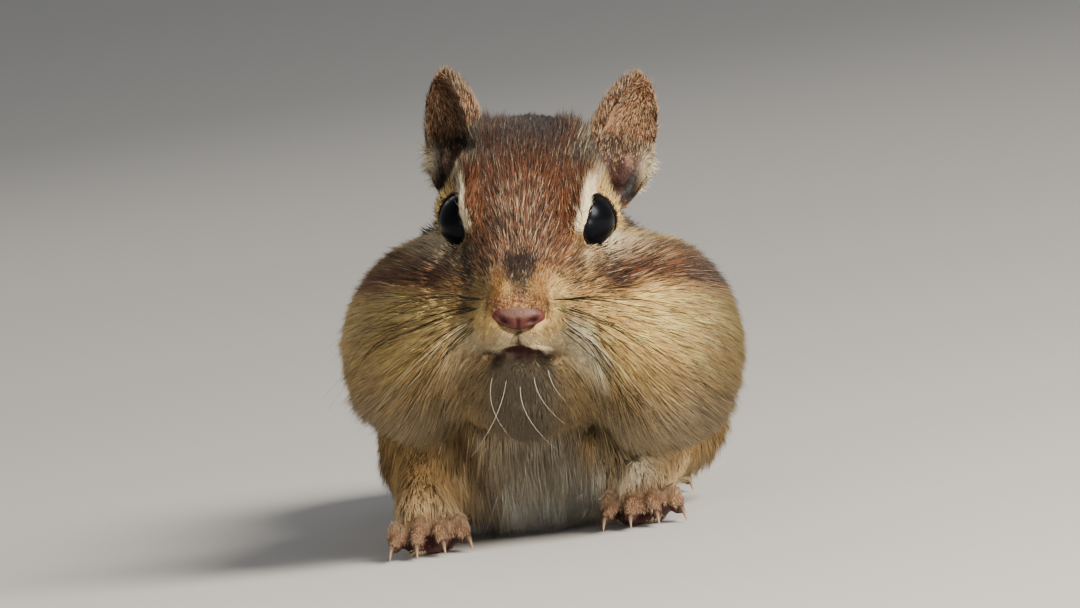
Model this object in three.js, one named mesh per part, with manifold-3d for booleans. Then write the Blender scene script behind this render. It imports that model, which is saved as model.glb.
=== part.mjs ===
// An eastern chipmunk at life size, crouched on all fours with both cheek pouches full, its head cocked a
// little to its left. Millimetres, +Z up, nose towards -Y, its left side towards +X. Every size includes the
// coat. Smooth fields of eggs and limbs give the form, each piece is wrapped round its own share of them, and
// thin cuts part it from its neighbours.

import * as THREE from 'three';
import { mergeVertices } from 'three/addons/utils/BufferGeometryUtils.js';
import Module from 'manifold-3d';

const wasm = await Module();
wasm.setup();

// Driving dimensions: millimetres and degrees. The head's are in its own frame, from the middle of the eyes.
const GAP = 0.3; // space between touching pieces
const BALL_GAP = 0.42; // space round an eyeball
const LOCK_GAP = 0.6; // space between the locks of one length of the tail and the next
const HEAD_AT = [1.3, -30, 46.5]; // the middle of the eyes in the frame of the body
const HEAD_TURN = 6; // degrees, nose to its right
const HEAD_LEAN = 8; // degrees, crown to its left
const EYE = { at: [8.0, 0.6, 0], radius: 4.5, gaze: 53, lift: 4, slit: [3.9, 3.5], lid: 0.8 };
const CRANIUM = { at: [0, 5, 3], radii: [11.8, 14, 11.8] };
const SNOUT = { from: [0, -2.5, -3.6], to: [0, -11.6, -12.0], radii: [8, 4.7] };
const LIP = { at: [2.7, -10, -15], radii: [4, 5, 3.7] };
const FACE_SIDE = { at: [7, 1, -10], radii: [7, 8.5, 8.5] };
const NOSE = { at: [0, -15.2, -12.9], radii: [2.65, 1.9, 2.1] };
const NOSTRIL = { from: [1.1, -17.6, -13.1], to: [2.0, -14.6, -12.2], radii: [0.62, 0.36] };
const JAW = { chin: [0, -7.6, -19.6], throat: [0, 4, -20], radii: [3.2, 7] };
const THROAT = { at: [0, 1, -24], radii: [9, 8.5, 8] };
const PHILTRUM = { from: [0, -17.2, -14.4], to: [0, -15.6, -18.6], radii: [0.35, 0.8] };
const EAR = { root: [10.2, 12.5, 1.2], height: 21, width: 12.4, depth: 6.6, wall: 1.1, facing: 47, nod: 5 };
const EAR_SPLAY = { left: 17, right: 12 }; // degrees out from upright
const EAR_POINT = 0.34; // share of its width that an ear loses towards the tip
const EAR_FOLD = { at: [1.2, 0.4, 6], radii: [1.5, 2.4, 4] };
const POUCH_TOP = { at: [14.8, 8.6, -13.6], radii: [11, 15.5, 11] };
const POUCH_SAG = { at: [16.6, 8.5, -20.8], radii: [12.4, 17.5, 12.4] };
const POUCH_FULL = { left: { size: 1.05, out: 1 }, right: { size: 0.96, out: -1 } };
const NECK = { at: [1, -8, 32.5], radii: [16, 16, 16.5] };
const BREAST = { at: [-0.5, -8, 17.6], radii: [15.5, 12.5, 16.9] };
const CHEST = { at: [0, 2, 21], radii: [17.5, 16, 20] };
const BARREL = { at: [0, 31, 25.4], radii: [22, 27, 22.6] };
const RUMP = { at: [0, 56, 22.2], radii: [20, 19, 19.6] };
const ARM = { shoulder: [13, 5, 26], elbow: [17, 7, 12.5], radii: [10, 6.8] };
const ELBOW_OUT = { left: 1.8, right: 0 }; // the left elbow stands out further
const WRIST = { right: [-18.9, -15, 6.4], left: [12, -15, 6.4], radius: 4.6 };
const PALM = { back: 1.5, front: -3.6, height: 2.9, radii: [4.4, 4.4] };
const FINGERS = { spread: [-5.5, -1.9, 1.9, 5.5], reach: [6, 8, 8.2, 6.2], knuckle: 4.3, radii: [1.8, 1.5] };
const THIGH = { at: [14, 50, 17.5], radii: [10, 18, 15.5] };
const SHANK = { knee: [18, 36, 10], ankle: [15, 58, 6.2], radii: [5.8, 3.8] };
const SOLE = { heel: [14.6, 56, 3.2], ball: [14.8, 33, 3], radii: [3.4, 3.8] };
const TOES = {
  spread: [-4.3, -2.2, 0, 2.2, 4.3], reach: [4.2, 7, 7.8, 7.2, 4.8], knuckle: 3.4, radii: [1.5, 1.25],
};
const CLAW = { length: 3.4, radius: 0.62, sink: 0.8 };
const TAIL_LINE = [[0, 69, 15], [0.6, 78, 9.6], [4, 92, 6], [9, 112, 5.6], [10, 133, 5.4], [6, 151, 4.8]];
const TAIL_RADII = [[0, 6.4], [0.14, 5.4], [0.4, 8.6], [0.72, 9.6], [0.92, 6.4], [1, 1.2]];
const TAIL_FLAT = 0.56; // height of the laid tail as a share of its width
const TAIL_CUTS = [90, 121]; // the Y of the two cuts that part it
const TAIL_CORE = 0.5; // size of the close inner coat as a share of the whole tail's
const LOCKS = {
  first: 0.03, rows: 9, step: 0.096, round: 7, long: 0.16, wide: 3.2, thick: 0.7, stray: 0.22, flat: 0.6,
};
const COLOURS = {
  russet: 0x8a4a22, tawny: 0xb98a4c, cream: 0xd9cdb4, skin: 0x8d6058, black: 0x0b0a0c, horn: 0x3a2c26,
};

// Small vector sums on plain [x, y, z] points
const add = (a, b) => a.map((v, i) => v + b[i]);
const take = (a, b) => a.map((v, i) => v - b[i]);
const scaled = (a, k) => a.map((v) => v * k);
const between = (a, b, t) => a.map((v, i) => v + (b[i] - v) * t);
const unit = (a) => scaled(a, 1 / Math.hypot(...a));
const radians = (degrees) => (degrees * Math.PI) / 180;
const flip = ([x, y, z]) => [-x, y, z];

// Fields: functions of a point that give about its distance outside a form, negative inside
function egg({ at: [x, y, z], radii: [a, b, c] }) {
  return (p) => {
    const [u, v, w] = [(p[0] - x) / a, (p[1] - y) / b, (p[2] - z) / c];
    const near = Math.sqrt(u * u + v * v + w * w);
    const slope = Math.sqrt((u / a) ** 2 + (v / b) ** 2 + (w / c) ** 2);
    return slope < 1e-9 ? -Math.min(a, b, c) : (near * (near - 1)) / slope;
  };
}

function limb(from, to, radii) {
  const [x, y, z] = take(to, from);
  const long = x * x + y * y + z * z;
  return (p) => {
    const [u, v, w] = [p[0] - from[0], p[1] - from[1], p[2] - from[2]];
    const t = Math.min(1, Math.max(0, (u * x + v * y + w * z) / long));
    return Math.hypot(u - x * t, v - y * t, w - z * t) - (radii[0] + (radii[1] - radii[0]) * t);
  };
}

// The union of several fields, its creases filled over about the given width
function blend(width, ...fields) {
  return (p) => fields.map((field) => field(p)).reduce((a, b) => {
    const h = Math.max(width - Math.abs(a - b), 0) / width;
    return Math.min(a, b) - (h * h * width) / 4;
  });
}

const paired = (field) => (p) => field([Math.abs(p[0]), p[1], p[2]]);
const mirror = (field) => (p) => field(flip(p));

// How far along a ray the field first rises to the given level
function reach(field, from, way, level) {
  const at = (r) => field(add(from, scaled(way, r))) - level;
  let [near, far] = [0, 0];
  for (let value = at(0); value < 0 && far < 200; value = at(far)) {
    near = far;
    far += Math.max(0.4, -value * 0.7);
  }
  for (let i = 0; i < 18; i += 1) {
    const middle = (near + far) / 2;
    if (at(middle) < 0) near = middle;
    else far = middle;
  }
  return far;
}

// A closed mesh wrapped round a field from inside: an icosphere's vertices thrown out from the centre,
// its net drawn longer by the stretch, and closer together on the side of the lean
function wrap(field, { from, detail, stretch = [1, 1, 1], lean = [0, 0, 0] }, level = 0) {
  const sphere = new THREE.IcosahedronGeometry(1, detail);
  sphere.deleteAttribute('normal');
  sphere.deleteAttribute('uv');
  const shape = mergeVertices(sphere, 1e-4);
  const place = shape.getAttribute('position');
  for (let i = 0; i < place.count; i += 1) {
    const net = [place.getX(i) * stretch[0], place.getY(i) * stretch[1], place.getZ(i) * stretch[2]];
    const way = unit(add(net, lean));
    place.setXYZ(i, ...add(from, scaled(way, reach(field, from, way, level))));
  }
  return shape;
}

// A closed round bar along a curve; its half width and half height follow the given function of 0 to 1, the
// height on the side of the given way up
function bar(points, size, rings, sides, up = new THREE.Vector3(0, 0, 1)) {
  const curve = new THREE.CatmullRomCurve3(points.map((p) => new THREE.Vector3(...p)));
  const vertices = [];
  const faces = [];
  for (let i = 0; i <= rings; i += 1) {
    const centre = curve.getPointAt(i / rings);
    const ahead = curve.getTangentAt(i / rings);
    const across = new THREE.Vector3().crossVectors(ahead, up).normalize();
    const over = new THREE.Vector3().crossVectors(across, ahead);
    const [wide, high] = size(i / rings);
    for (let j = 0; j < sides; j += 1) {
      const angle = (0.25 + j / sides) * 2 * Math.PI;
      const rim = centre.clone().addScaledVector(across, Math.cos(angle) * wide);
      vertices.push(...rim.addScaledVector(over, Math.sin(angle) * high).toArray());
      if (i === rings) continue;
      const [a, b] = [i * sides + j, i * sides + ((j + 1) % sides)];
      faces.push(a, b, b + sides, a, b + sides, a + sides);
    }
  }
  const last = rings * sides;
  vertices.push(...curve.getPointAt(0).toArray(), ...curve.getPointAt(1).toArray());
  const cap = last + sides;
  for (let j = 0; j < sides; j += 1) {
    const next = (j + 1) % sides;
    faces.push(cap, next, j, cap + 1, last + j, last + next);
  }
  const shape = new THREE.BufferGeometry();
  shape.setAttribute('position', new THREE.Float32BufferAttribute(vertices, 3));
  shape.setIndex(faces);
  return shape;
}

// Solids: closed meshes that can be joined and cut
function solid(shape) {
  const vertProperties = new Float32Array(shape.getAttribute('position').array);
  const triVerts = new Uint32Array(shape.index.array);
  const made = new wasm.Manifold(new wasm.Mesh({ numProp: 3, vertProperties, triVerts }));
  if (made.volume() > 0) return made;
  for (let i = 0; i < triVerts.length; i += 3) {
    [triVerts[i], triVerts[i + 1]] = [triVerts[i + 1], triVerts[i]];
  }
  return new wasm.Manifold(new wasm.Mesh({ numProp: 3, vertProperties, triVerts }));
}

const block = (...size) => {
  const box = new THREE.BoxGeometry(...size);
  box.deleteAttribute('normal');
  box.deleteAttribute('uv');
  return solid(mergeVertices(box));
};
const cut = (body, ...cutters) => cutters.reduce((a, b) => a.subtract(b), body);
const largest = (body) => body.decompose().sort((a, b) => b.volume() - a.volume())[0];
const rooms = (pieces) => pieces.map(({ room }) => room);
const moved = (pieces, matrix) => pieces.map(({ body, room }) => (
  { body: body.transform(matrix.elements), room: room.transform(matrix.elements) }
));
const otherSide = ({ body, room }) => ({ body: body.mirror([1, 0, 0]), room: room.mirror([1, 0, 0]) });

// A piece: its own form or, where a whole is given, the whole's surface over its own form's reach, less the
// room of the pieces near it. Its room is the same a gap larger.
function piece(own, net, { whole, margin = 0, near = [] } = {}) {
  const make = (level) => {
    if (!whole) return solid(wrap(own, net, level));
    const around = (p) => Math.max(whole(p), own(p) - margin - 1.5);
    const share = wrap(own, { ...net, detail: Math.min(net.detail, 3) }, margin + level);
    return solid(wrap(around, net, level)).intersect(solid(share));
  };
  return { body: largest(cut(make(0), ...rooms(near))), room: make(GAP) };
}

// The scene: the head turns as one group on the body
const part = new THREE.Group();
const head = new THREE.Group();
head.position.set(...HEAD_AT);
head.rotation.set(0, radians(HEAD_LEAN), radians(-HEAD_TURN), 'YZX');
part.add(head);
part.updateMatrixWorld(true);
const through = (matrix, field) => {
  const place = new THREE.Vector3();
  return (p) => field(place.set(...p).applyMatrix4(matrix).toArray());
};
const inBody = (field) => through(head.matrix.clone().invert(), field);
const inHead = (field) => through(head.matrix, field);

function show(group, name, body, colour, roughness = 0.9) {
  const { numProp, vertProperties, triVerts } = largest(body).getMesh();
  const places = [];
  for (let i = 0; i < vertProperties.length; i += numProp) places.push(...vertProperties.subarray(i, i + 3));
  const shape = new THREE.BufferGeometry();
  shape.setAttribute('position', new THREE.Float32BufferAttribute(places, 3));
  shape.setIndex([...triVerts]);
  const material = new THREE.MeshStandardMaterial({ color: colour, roughness, metalness: 0 });
  const mesh = new THREE.Mesh(shape, material);
  mesh.name = name;
  group.add(mesh);
}

// The forms of the flesh, which the pieces below share out
const pouchForm = ({ size, out }) => blend(
  6,
  egg({ at: add(POUCH_TOP.at, [out, 0, 0]), radii: scaled(POUCH_TOP.radii, size) }),
  egg({ at: add(POUCH_SAG.at, [out, 0, 0]), radii: scaled(POUCH_SAG.radii, size) }),
);
const pouchForms = { left: pouchForm(POUCH_FULL.left), right: mirror(pouchForm(POUCH_FULL.right)) };
const lidForm = egg({ at: EYE.at, radii: Array(3).fill(EYE.radius + EYE.lid) });
const faceForm = blend(
  1.6,
  blend(4, egg(CRANIUM), limb(SNOUT.from, SNOUT.to, SNOUT.radii), paired(egg(FACE_SIDE)), paired(egg(LIP))),
  paired(lidForm),
);
const jawForm = blend(5, limb(JAW.chin, JAW.throat, JAW.radii), egg(THROAT));
const neckForm = egg(NECK);
const trunkForm = blend(6, blend(14, egg(CHEST), egg(BARREL), egg(RUMP)), egg(BREAST));
const elbowAt = (side) => add(ARM.elbow, [ELBOW_OUT[side], 0, 0]);
const armForms = {
  left: limb(ARM.shoulder, elbowAt('left'), ARM.radii),
  right: mirror(limb(ARM.shoulder, elbowAt('right'), ARM.radii)),
};
const thighForm = egg(THIGH);
const headForm = blend(9, blend(5, faceForm, pouchForms.left, pouchForms.right), inHead(neckForm));
const bodyForm = blend(9, blend(14, trunkForm, neckForm), armForms.left, armForms.right, paired(thighForm));

// Eyeballs, and between the lids an almond opening along the gaze
const ballForm = egg({ at: EYE.at, radii: Array(3).fill(EYE.radius) });
const ball = {
  body: solid(wrap(ballForm, { from: EYE.at, detail: 3 })),
  room: solid(wrap(ballForm, { from: EYE.at, detail: 2 }, BALL_GAP)),
};
const gaze = new THREE.Vector3(0, -1, 0)
  .applyEuler(new THREE.Euler(radians(-EYE.lift), 0, radians(EYE.gaze), 'ZYX'));
const slitEnds = [1.4, EYE.radius + 2, EYE.radius + 7].map((r) => add(EYE.at, scaled(gaze.toArray(), r)));
const slit = solid(bar(slitEnds, () => EYE.slit, 2, 16));
const lids = [slit, slit.mirror([1, 0, 0])].map((room) => ({ room }));
const nose = piece(egg(NOSE), { from: NOSE.at, detail: 2 });
const nostrilEnds = [NOSTRIL.from, between(NOSTRIL.from, NOSTRIL.to, 0.5), NOSTRIL.to];
const nostril = solid(bar(nostrilEnds, () => NOSTRIL.radii, 2, 6));
const otherBall = otherSide(ball);
show(head, 'nose', cut(nose.body, nostril, nostril.mirror([1, 0, 0])), COLOURS.skin, 0.5);
show(head, 'eye_left', ball.body, COLOURS.black, 0.1);
show(head, 'eye_right', otherBall.body, COLOURS.black, 0.1);

// The head without jaw, ears and pouches
const skull = piece(
  faceForm,
  { from: [0, -1, -3], detail: 6, stretch: [1, 1.1, 1.1], lean: [0, -0.3, -0.1] },
  { whole: headForm, margin: 1, near: [ball, otherBall, ...lids, nose] },
);
const philtrumEnds = [PHILTRUM.from, between(PHILTRUM.from, PHILTRUM.to, 0.5), PHILTRUM.to];
const philtrum = solid(bar(philtrumEnds, () => PHILTRUM.radii, 2, 6));
show(head, 'head', cut(skull.body, philtrum), COLOURS.russet);

// The lower jaw, closed against the upper lip along the line of the mouth
const jaw = piece(
  jawForm,
  { from: between(JAW.chin, JAW.throat, 0.6), detail: 3, stretch: [1, 1.3, 0.9] },
  { whole: blend(4, jawForm, pouchForms.left, pouchForms.right), margin: 1, near: [skull, nose] },
);
show(head, 'lower_jaw', jaw.body, COLOURS.cream);

// An ear: an upright pointed shell, hollowed from the front so that a thin cup with a rim is left, with a
// fold low in the cup
const pointed = (field) => (p) => {
  const width = 1.1 - EAR_POINT * Math.max(0, p[2] / EAR.height) ** 2;
  return field([p[0] / width, p[1], p[2]]);
};
const earForm = pointed(egg({
  at: [0, 0, EAR.height * 0.46],
  radii: [EAR.width / 2, EAR.depth / 2, EAR.height * 0.54],
}));
const cupForm = pointed(egg({
  at: [0, -EAR.wall * 1.5, EAR.height * 0.48],
  radii: [EAR.width / 2 - EAR.wall, EAR.depth / 2 - EAR.wall * 0.2, EAR.height * 0.54 - EAR.wall],
}));
const earNet = { from: [0, 0, EAR.height * 0.46], detail: 3, stretch: [1, 0.8, 1.5] };
const upright = piece(earForm, earNet);
const fold = solid(wrap(egg(EAR_FOLD), { from: EAR_FOLD.at, detail: 1 }));
const cup = solid(wrap(cupForm, { ...earNet, detail: 2 })).subtract(fold);
const earAt = (splay) => {
  const turn = new THREE.Euler(radians(-EAR.nod), radians(splay), radians(EAR.facing), 'YZX');
  const place = new THREE.Matrix4().makeRotationFromEuler(turn).setPosition(...EAR.root);
  return moved([{ body: upright.body.subtract(cup), room: upright.room }], place)[0];
};
const ears = { left: earAt(EAR_SPLAY.left), right: otherSide(earAt(EAR_SPLAY.right)) };
Object.entries(ears).forEach(([side, { body }]) => {
  show(head, `ear_${side}`, cut(body, skull.room), COLOURS.tawny);
});

// The full cheek pouches, one each side of the jaw
const pouches = Object.fromEntries([['left', 1], ['right', -1]].map(([side, sign]) => {
  const middle = between(POUCH_TOP.at, POUCH_SAG.at, 0.6);
  return [side, piece(
    pouchForms[side],
    { from: sign > 0 ? middle : flip(middle), detail: 4, stretch: [1, 1.4, 1.1] },
    { whole: headForm, margin: 2.4, near: [skull, jaw, nose, ears.left, ears.right] },
  )];
}));
Object.entries(pouches).forEach(([side, { body }]) => show(head, `cheek_pouch_${side}`, body, COLOURS.tawny));
const headPieces = moved([skull, jaw, pouches.left, pouches.right, ears.left, ears.right], head.matrix);

// Trunk and neck, the neck filling the angle between the head, the pouches and the shoulders
const trunk = piece(
  trunkForm,
  { from: BARREL.at, detail: 4, stretch: [1, 1.9, 1] },
  { whole: bodyForm, margin: 1.5, near: headPieces },
);
show(part, 'torso', trunk.body, COLOURS.russet);
const neck = piece(
  neckForm,
  { from: NECK.at, detail: 2 },
  { whole: blend(6, bodyForm, inBody(headForm)), margin: 5, near: [...headPieces, trunk] },
);
show(part, 'neck', neck.body, COLOURS.cream);

// The floor takes a thin flat off the underside of whatever stands on it
const floor = block(200, 400, 40).translate([0, 60, -20]);

// One bent finger or toe, and the claw that leaves its tip
function digit(root, tip, knuckle, radii) {
  const bend = between(root, tip, 0.45);
  return solid(bar([root, [bend[0], bend[1], knuckle], tip], (t) => {
    const rounded = Math.sqrt(Math.max(0.2, 1 - Math.max(0, t * 2 - 1) ** 5));
    const r = (radii[0] + (radii[1] - radii[0]) * t) * rounded;
    return [r, r];
  }, 4, 5));
}

function claw(root, tip) {
  const way = unit(take(tip, root));
  return (level) => {
    const start = take(tip, scaled(way, CLAW.sink + level * 1.5));
    const end = [tip[0] + way[0] * CLAW.length, tip[1] + way[1] * CLAW.length, 0.5];
    const crest = add(between(start, end, 0.5), [0, 0, 0.55]);
    return solid(bar([start, crest, end], (t) => {
      const r = CLAW.radius * (1 - 0.86 * t) + level * 1.5;
      return [r * 0.8, r];
    }, 2, 4));
  };
}

// A foot with its digits joined on, flat on the floor, each claw standing in its own gap
function foot(name, pad, roots, tips, knuckle, radii, near) {
  const digits = roots.map((root, i) => digit(root, tips[i], knuckle, radii));
  const claws = roots.map((root, i) => claw(between(root, tips[i], 0.6), tips[i]));
  const body = digits.reduce((a, b) => a.add(b), pad.body);
  show(part, name, cut(body, floor, ...claws.map((make) => make(GAP)), ...rooms(near)), COLOURS.skin);
  claws.forEach((make, i) => show(part, `${name}_claw_${i + 1}`, cut(make(0), floor), COLOURS.horn, 0.4));
}

// The fore limbs: upper arm on the chest, forearm, and forefoot with four fingers
function foreLimb(side, sign) {
  const at = (p) => (sign < 0 ? flip(p) : p);
  const [shoulder, elbow, wrist] = [at(ARM.shoulder), at(elbowAt(side)), WRIST[side]];
  const foreForm = limb(elbow, wrist, [ARM.radii[1], WRIST.radius]);
  const palm = [PALM.back, PALM.front].map((y) => [wrist[0], wrist[1] + y, PALM.height]);
  const palmForm = limb(...palm, PALM.radii);
  const upper = piece(
    armForms[side],
    { from: between(shoulder, elbow, 0.5), detail: 2, stretch: [1, 1, 1.4] },
    { whole: blend(6, bodyForm, foreForm), margin: 4, near: [...headPieces, trunk, neck] },
  );
  const fore = piece(
    foreForm,
    { from: between(elbow, wrist, 0.45), detail: 3, stretch: [1, 2, 1] },
    {
      whole: blend(4, armForms[side], foreForm, palmForm),
      margin: 1,
      near: [...headPieces, trunk, neck, upper],
    },
  );
  const pad = piece(palmForm, { from: between(...palm, 0.5), detail: 1, stretch: [1, 1.2, 0.8] });
  show(part, `upper_arm_${side}`, upper.body, COLOURS.tawny);
  show(part, `forearm_${side}`, cut(fore.body, floor), COLOURS.tawny);
  const rootLine = [wrist[1] + PALM.front + 1, PALM.height - 0.8];
  const roots = FINGERS.spread.map((x) => [wrist[0] + x * 0.62, ...rootLine]);
  const tips = FINGERS.spread.map((x, i) => [
    wrist[0] + x, wrist[1] + PALM.front - FINGERS.reach[sign > 0 ? i : 3 - i], FINGERS.radii[1] - 0.15,
  ]);
  foot(`forefoot_${side}`, pad, roots, tips, FINGERS.knuckle, FINGERS.radii, [fore, upper, trunk]);
}

foreLimb('right', -1);
foreLimb('left', 1);

// The hind limbs: thigh on the flank, shank folded under it, and the long hindfoot with five toes
function hindLimb(side, sign) {
  const at = (p) => (sign < 0 ? flip(p) : p);
  const [knee, ankle, heel, ballOfFoot] = [SHANK.knee, SHANK.ankle, SOLE.heel, SOLE.ball].map(at);
  const ownThigh = sign < 0 ? mirror(thighForm) : thighForm;
  const shankForm = limb(knee, ankle, SHANK.radii);
  const thigh = piece(
    ownThigh,
    { from: at(THIGH.at), detail: 3, stretch: [1, 1.4, 1.2] },
    { whole: bodyForm, margin: 4, near: [trunk] },
  );
  const shank = piece(
    shankForm,
    { from: between(knee, ankle, 0.4), detail: 2, stretch: [1, 1.8, 1] },
    { whole: blend(4, shankForm, ownThigh), margin: 2, near: [trunk, thigh] },
  );
  const sole = piece(
    limb(heel, ballOfFoot, SOLE.radii),
    { from: between(heel, ballOfFoot, 0.5), detail: 1, stretch: [1, 2, 0.8] },
  );
  show(part, `thigh_${side}`, thigh.body, COLOURS.russet);
  show(part, `shank_${side}`, cut(shank.body, floor), COLOURS.tawny);
  const roots = TOES.spread.map((x) => [ballOfFoot[0] + x * 0.7, ballOfFoot[1] - 1.5, SOLE.ball[2] - 0.6]);
  const tips = TOES.spread.map((x, i) => [
    ballOfFoot[0] + x * 1.1,
    ballOfFoot[1] - SOLE.radii[1] - TOES.reach[sign > 0 ? i : 4 - i],
    TOES.radii[1] - 0.15,
  ]);
  foot(`hindfoot_${side}`, sole, roots, tips, TOES.knuckle, TOES.radii, [thigh, shank, trunk]);
  return [thigh, shank];
}

const haunches = [...hindLimb('right', -1), ...hindLimb('left', 1)];

// The tail, laid on the floor in a slow bend and parted into three lengths: a core, and over it the long coat
// in staggered rows of flat locks that leave the core, bend back along the tail and taper to the outline
const tailHalf = (t) => {
  const k = Math.max(1, TAIL_RADII.findIndex(([at]) => at >= t));
  const [[t0, r0], [t1, r1]] = [TAIL_RADII[k - 1], TAIL_RADII[k]];
  return r0 + (r1 - r0) * THREE.MathUtils.smoothstep(t, t0, t1);
};
const coreHalf = (t) => tailHalf(t) * TAIL_CORE;
const core = solid(bar(TAIL_LINE, (t) => [coreHalf(t), coreHalf(t) * TAIL_FLAT], 20, 10));
const tailCurve = new THREE.CatmullRomCurve3(TAIL_LINE.map((p) => new THREE.Vector3(...p)));

// A point of the tail at a share of the way out to its outline
function onTail(t, angle, share) {
  const ahead = tailCurve.getTangentAt(Math.min(t, 1));
  const across = new THREE.Vector3(0, 0, 1).cross(ahead).normalize();
  const over = ahead.clone().cross(across);
  const half = tailHalf(Math.min(t, 1)) * share;
  return tailCurve.getPointAt(Math.min(t, 1))
    .addScaledVector(across, Math.cos(angle) * half)
    .addScaledVector(over, Math.sin(angle) * half * TAIL_FLAT);
}

function lock(t, angle, long, turn) {
  const root = onTail(t, angle, 0.3);
  const bend = onTail(t + long * 0.4, angle + turn / 2, 0.8);
  const tip = onTail(t + long, angle + turn, 1);
  const flat = Math.max(Math.abs(Math.sin(angle)), LOCKS.flat) * (Math.sin(angle) < 0 ? -1 : 1);
  const out = onTail(t, 0, 1).sub(tailCurve.getPointAt(t)).setLength(Math.cos(angle) * (1 - LOCKS.flat));
  out.z += flat;
  const make = (level) => {
    const lengthened = (p) => p.clone().addScaledVector(p.clone().sub(bend).normalize(), level);
    const [start, end] = [root, tip].map(lengthened);
    return solid(bar([start, bend, end].map((p) => p.toArray()), (s) => {
      const wide = LOCKS.wide * (0.35 + 0.65 * Math.sin(s * Math.PI)) * (1 - s * 0.9);
      return [wide + level * 3, LOCKS.thick * (1 - s * 0.9) + level];
    }, 2, 3, out.normalize()));
  };
  return { root: root.y, tip: tip.y, body: make(0), room: make(LOCK_GAP) };
}

const stray = THREE.MathUtils.seededRandom;
stray(11);
const locks = Array.from({ length: LOCKS.rows * LOCKS.round }, (_, i) => {
  const row = Math.floor(i / LOCKS.round);
  const place = (i % LOCKS.round) + (row % 2) / 2 + (stray() - 0.5) * LOCKS.stray;
  const long = LOCKS.long * (0.85 + stray() * 0.3);
  const turn = (stray() - 0.5) * LOCKS.stray;
  return lock(LOCKS.first + row * LOCKS.step, (place * 2 * Math.PI) / LOCKS.round, long, turn);
});
['base', 'middle', 'tip'].forEach((name, i) => {
  const [from, to] = [[0, ...TAIL_CUTS][i], [...TAIL_CUTS, 200][i]];
  const before = block(120, from, 120).translate([0, (from + GAP) / 2, 0]);
  const length = core.intersect(block(120, to - from - GAP, 120).translate([0, (from + to) / 2, 0]));
  const own = locks.filter(({ root }) => root > from && root < to);
  const over = locks.filter(({ root, tip }) => root < from && tip > from);
  const body = own.reduce((a, b) => a.add(b.body), length);
  const clear = [floor, trunk.room, ...rooms([...haunches, ...over])];
  show(part, `tail_${name}`, cut(body, ...(i ? [before, ...clear] : clear)), COLOURS.russet);
});

// The origin: on the floor, under the middle of the whole animal
part.updateMatrixWorld(true);
const middle = new THREE.Box3().setFromObject(part, true).getCenter(new THREE.Vector3());
part.children.forEach((child) => child.position.sub(new THREE.Vector3(middle.x, middle.y, 0)));

export default part;
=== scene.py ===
"""An eastern chipmunk at life size, crouched with both cheek pouches full. One skin covers the whole body,
and its coat is laid on as tufts of hair, length by length. Everything rides on the one body of the model."""

import math

import bmesh
import bpy
import numpy as np
from mathutils import Matrix, Vector
from mathutils.bvhtree import BVHTree
from mathutils.kdtree import KDTree


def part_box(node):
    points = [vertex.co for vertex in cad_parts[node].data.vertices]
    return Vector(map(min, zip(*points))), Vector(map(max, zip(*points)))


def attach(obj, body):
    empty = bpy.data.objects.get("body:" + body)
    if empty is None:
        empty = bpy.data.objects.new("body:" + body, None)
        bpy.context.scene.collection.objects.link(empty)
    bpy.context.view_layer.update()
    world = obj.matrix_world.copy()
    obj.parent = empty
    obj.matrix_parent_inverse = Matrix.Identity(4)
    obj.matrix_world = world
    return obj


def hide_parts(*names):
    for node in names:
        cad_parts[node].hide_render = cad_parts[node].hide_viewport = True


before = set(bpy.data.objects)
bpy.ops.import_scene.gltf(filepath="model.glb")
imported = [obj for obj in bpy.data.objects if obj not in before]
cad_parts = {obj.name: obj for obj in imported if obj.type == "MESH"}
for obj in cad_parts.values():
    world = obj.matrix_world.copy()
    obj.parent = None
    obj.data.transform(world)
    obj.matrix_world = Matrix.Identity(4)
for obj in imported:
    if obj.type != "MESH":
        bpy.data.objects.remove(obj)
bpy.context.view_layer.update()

# The head is cocked and turned on the body, so its folds and markings are laid out in a frame of its own:
# millimetres from the middle of the eyes, X to the animal's left, Y backwards and Z to the crown. The eyes
# and the nose give its place.
MM = 0.001
NOSE_DROP = math.radians(40.3)  # how far the nose lies below straight ahead of the eyes


def middle_of(node):
    low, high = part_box(node)
    return (low + high) / 2


eyes_at = (middle_of("eye_left") + middle_of("eye_right")) / 2
to_left = (middle_of("eye_left") - middle_of("eye_right")).normalized()
to_nose = middle_of("nose") - eyes_at
to_nose = (to_nose - to_left * to_nose.dot(to_left)).normalized()
ahead = Matrix.Rotation(-NOSE_DROP, 3, to_left) @ to_nose
to_crown = ahead.cross(to_left)
head_axes = np.array([to_left, -ahead, to_crown])
head_at = np.array(eyes_at)


def in_head(places):
    """Places in metres, as millimetres in the frame of the head."""
    return (places - head_at) @ head_axes.T / MM


def from_head(places):
    return np.asarray(places, float) * MM @ head_axes + head_at


def in_scene(name, data):
    """An object with the given mesh, lamp or lens, put in the scene."""
    made = bpy.data.objects.new(name, data)
    bpy.context.scene.collection.objects.link(made)
    return made


# A long lens two metres in front and a little above, rolled as the photograph is. The picture's scale is so
# many pixels to the millimetre at the eyes, whose middle falls at the given pixel.
FRAME_PIXELS = (1080, 608)
SENSOR = 36
EYES_PIXEL = (527, 219)
PIXELS_A_MM = 7
CAMERA_RISE = math.radians(4)
CAMERA_ROLL = math.radians(-8)
CAMERA_FAR = 2.0

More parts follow.
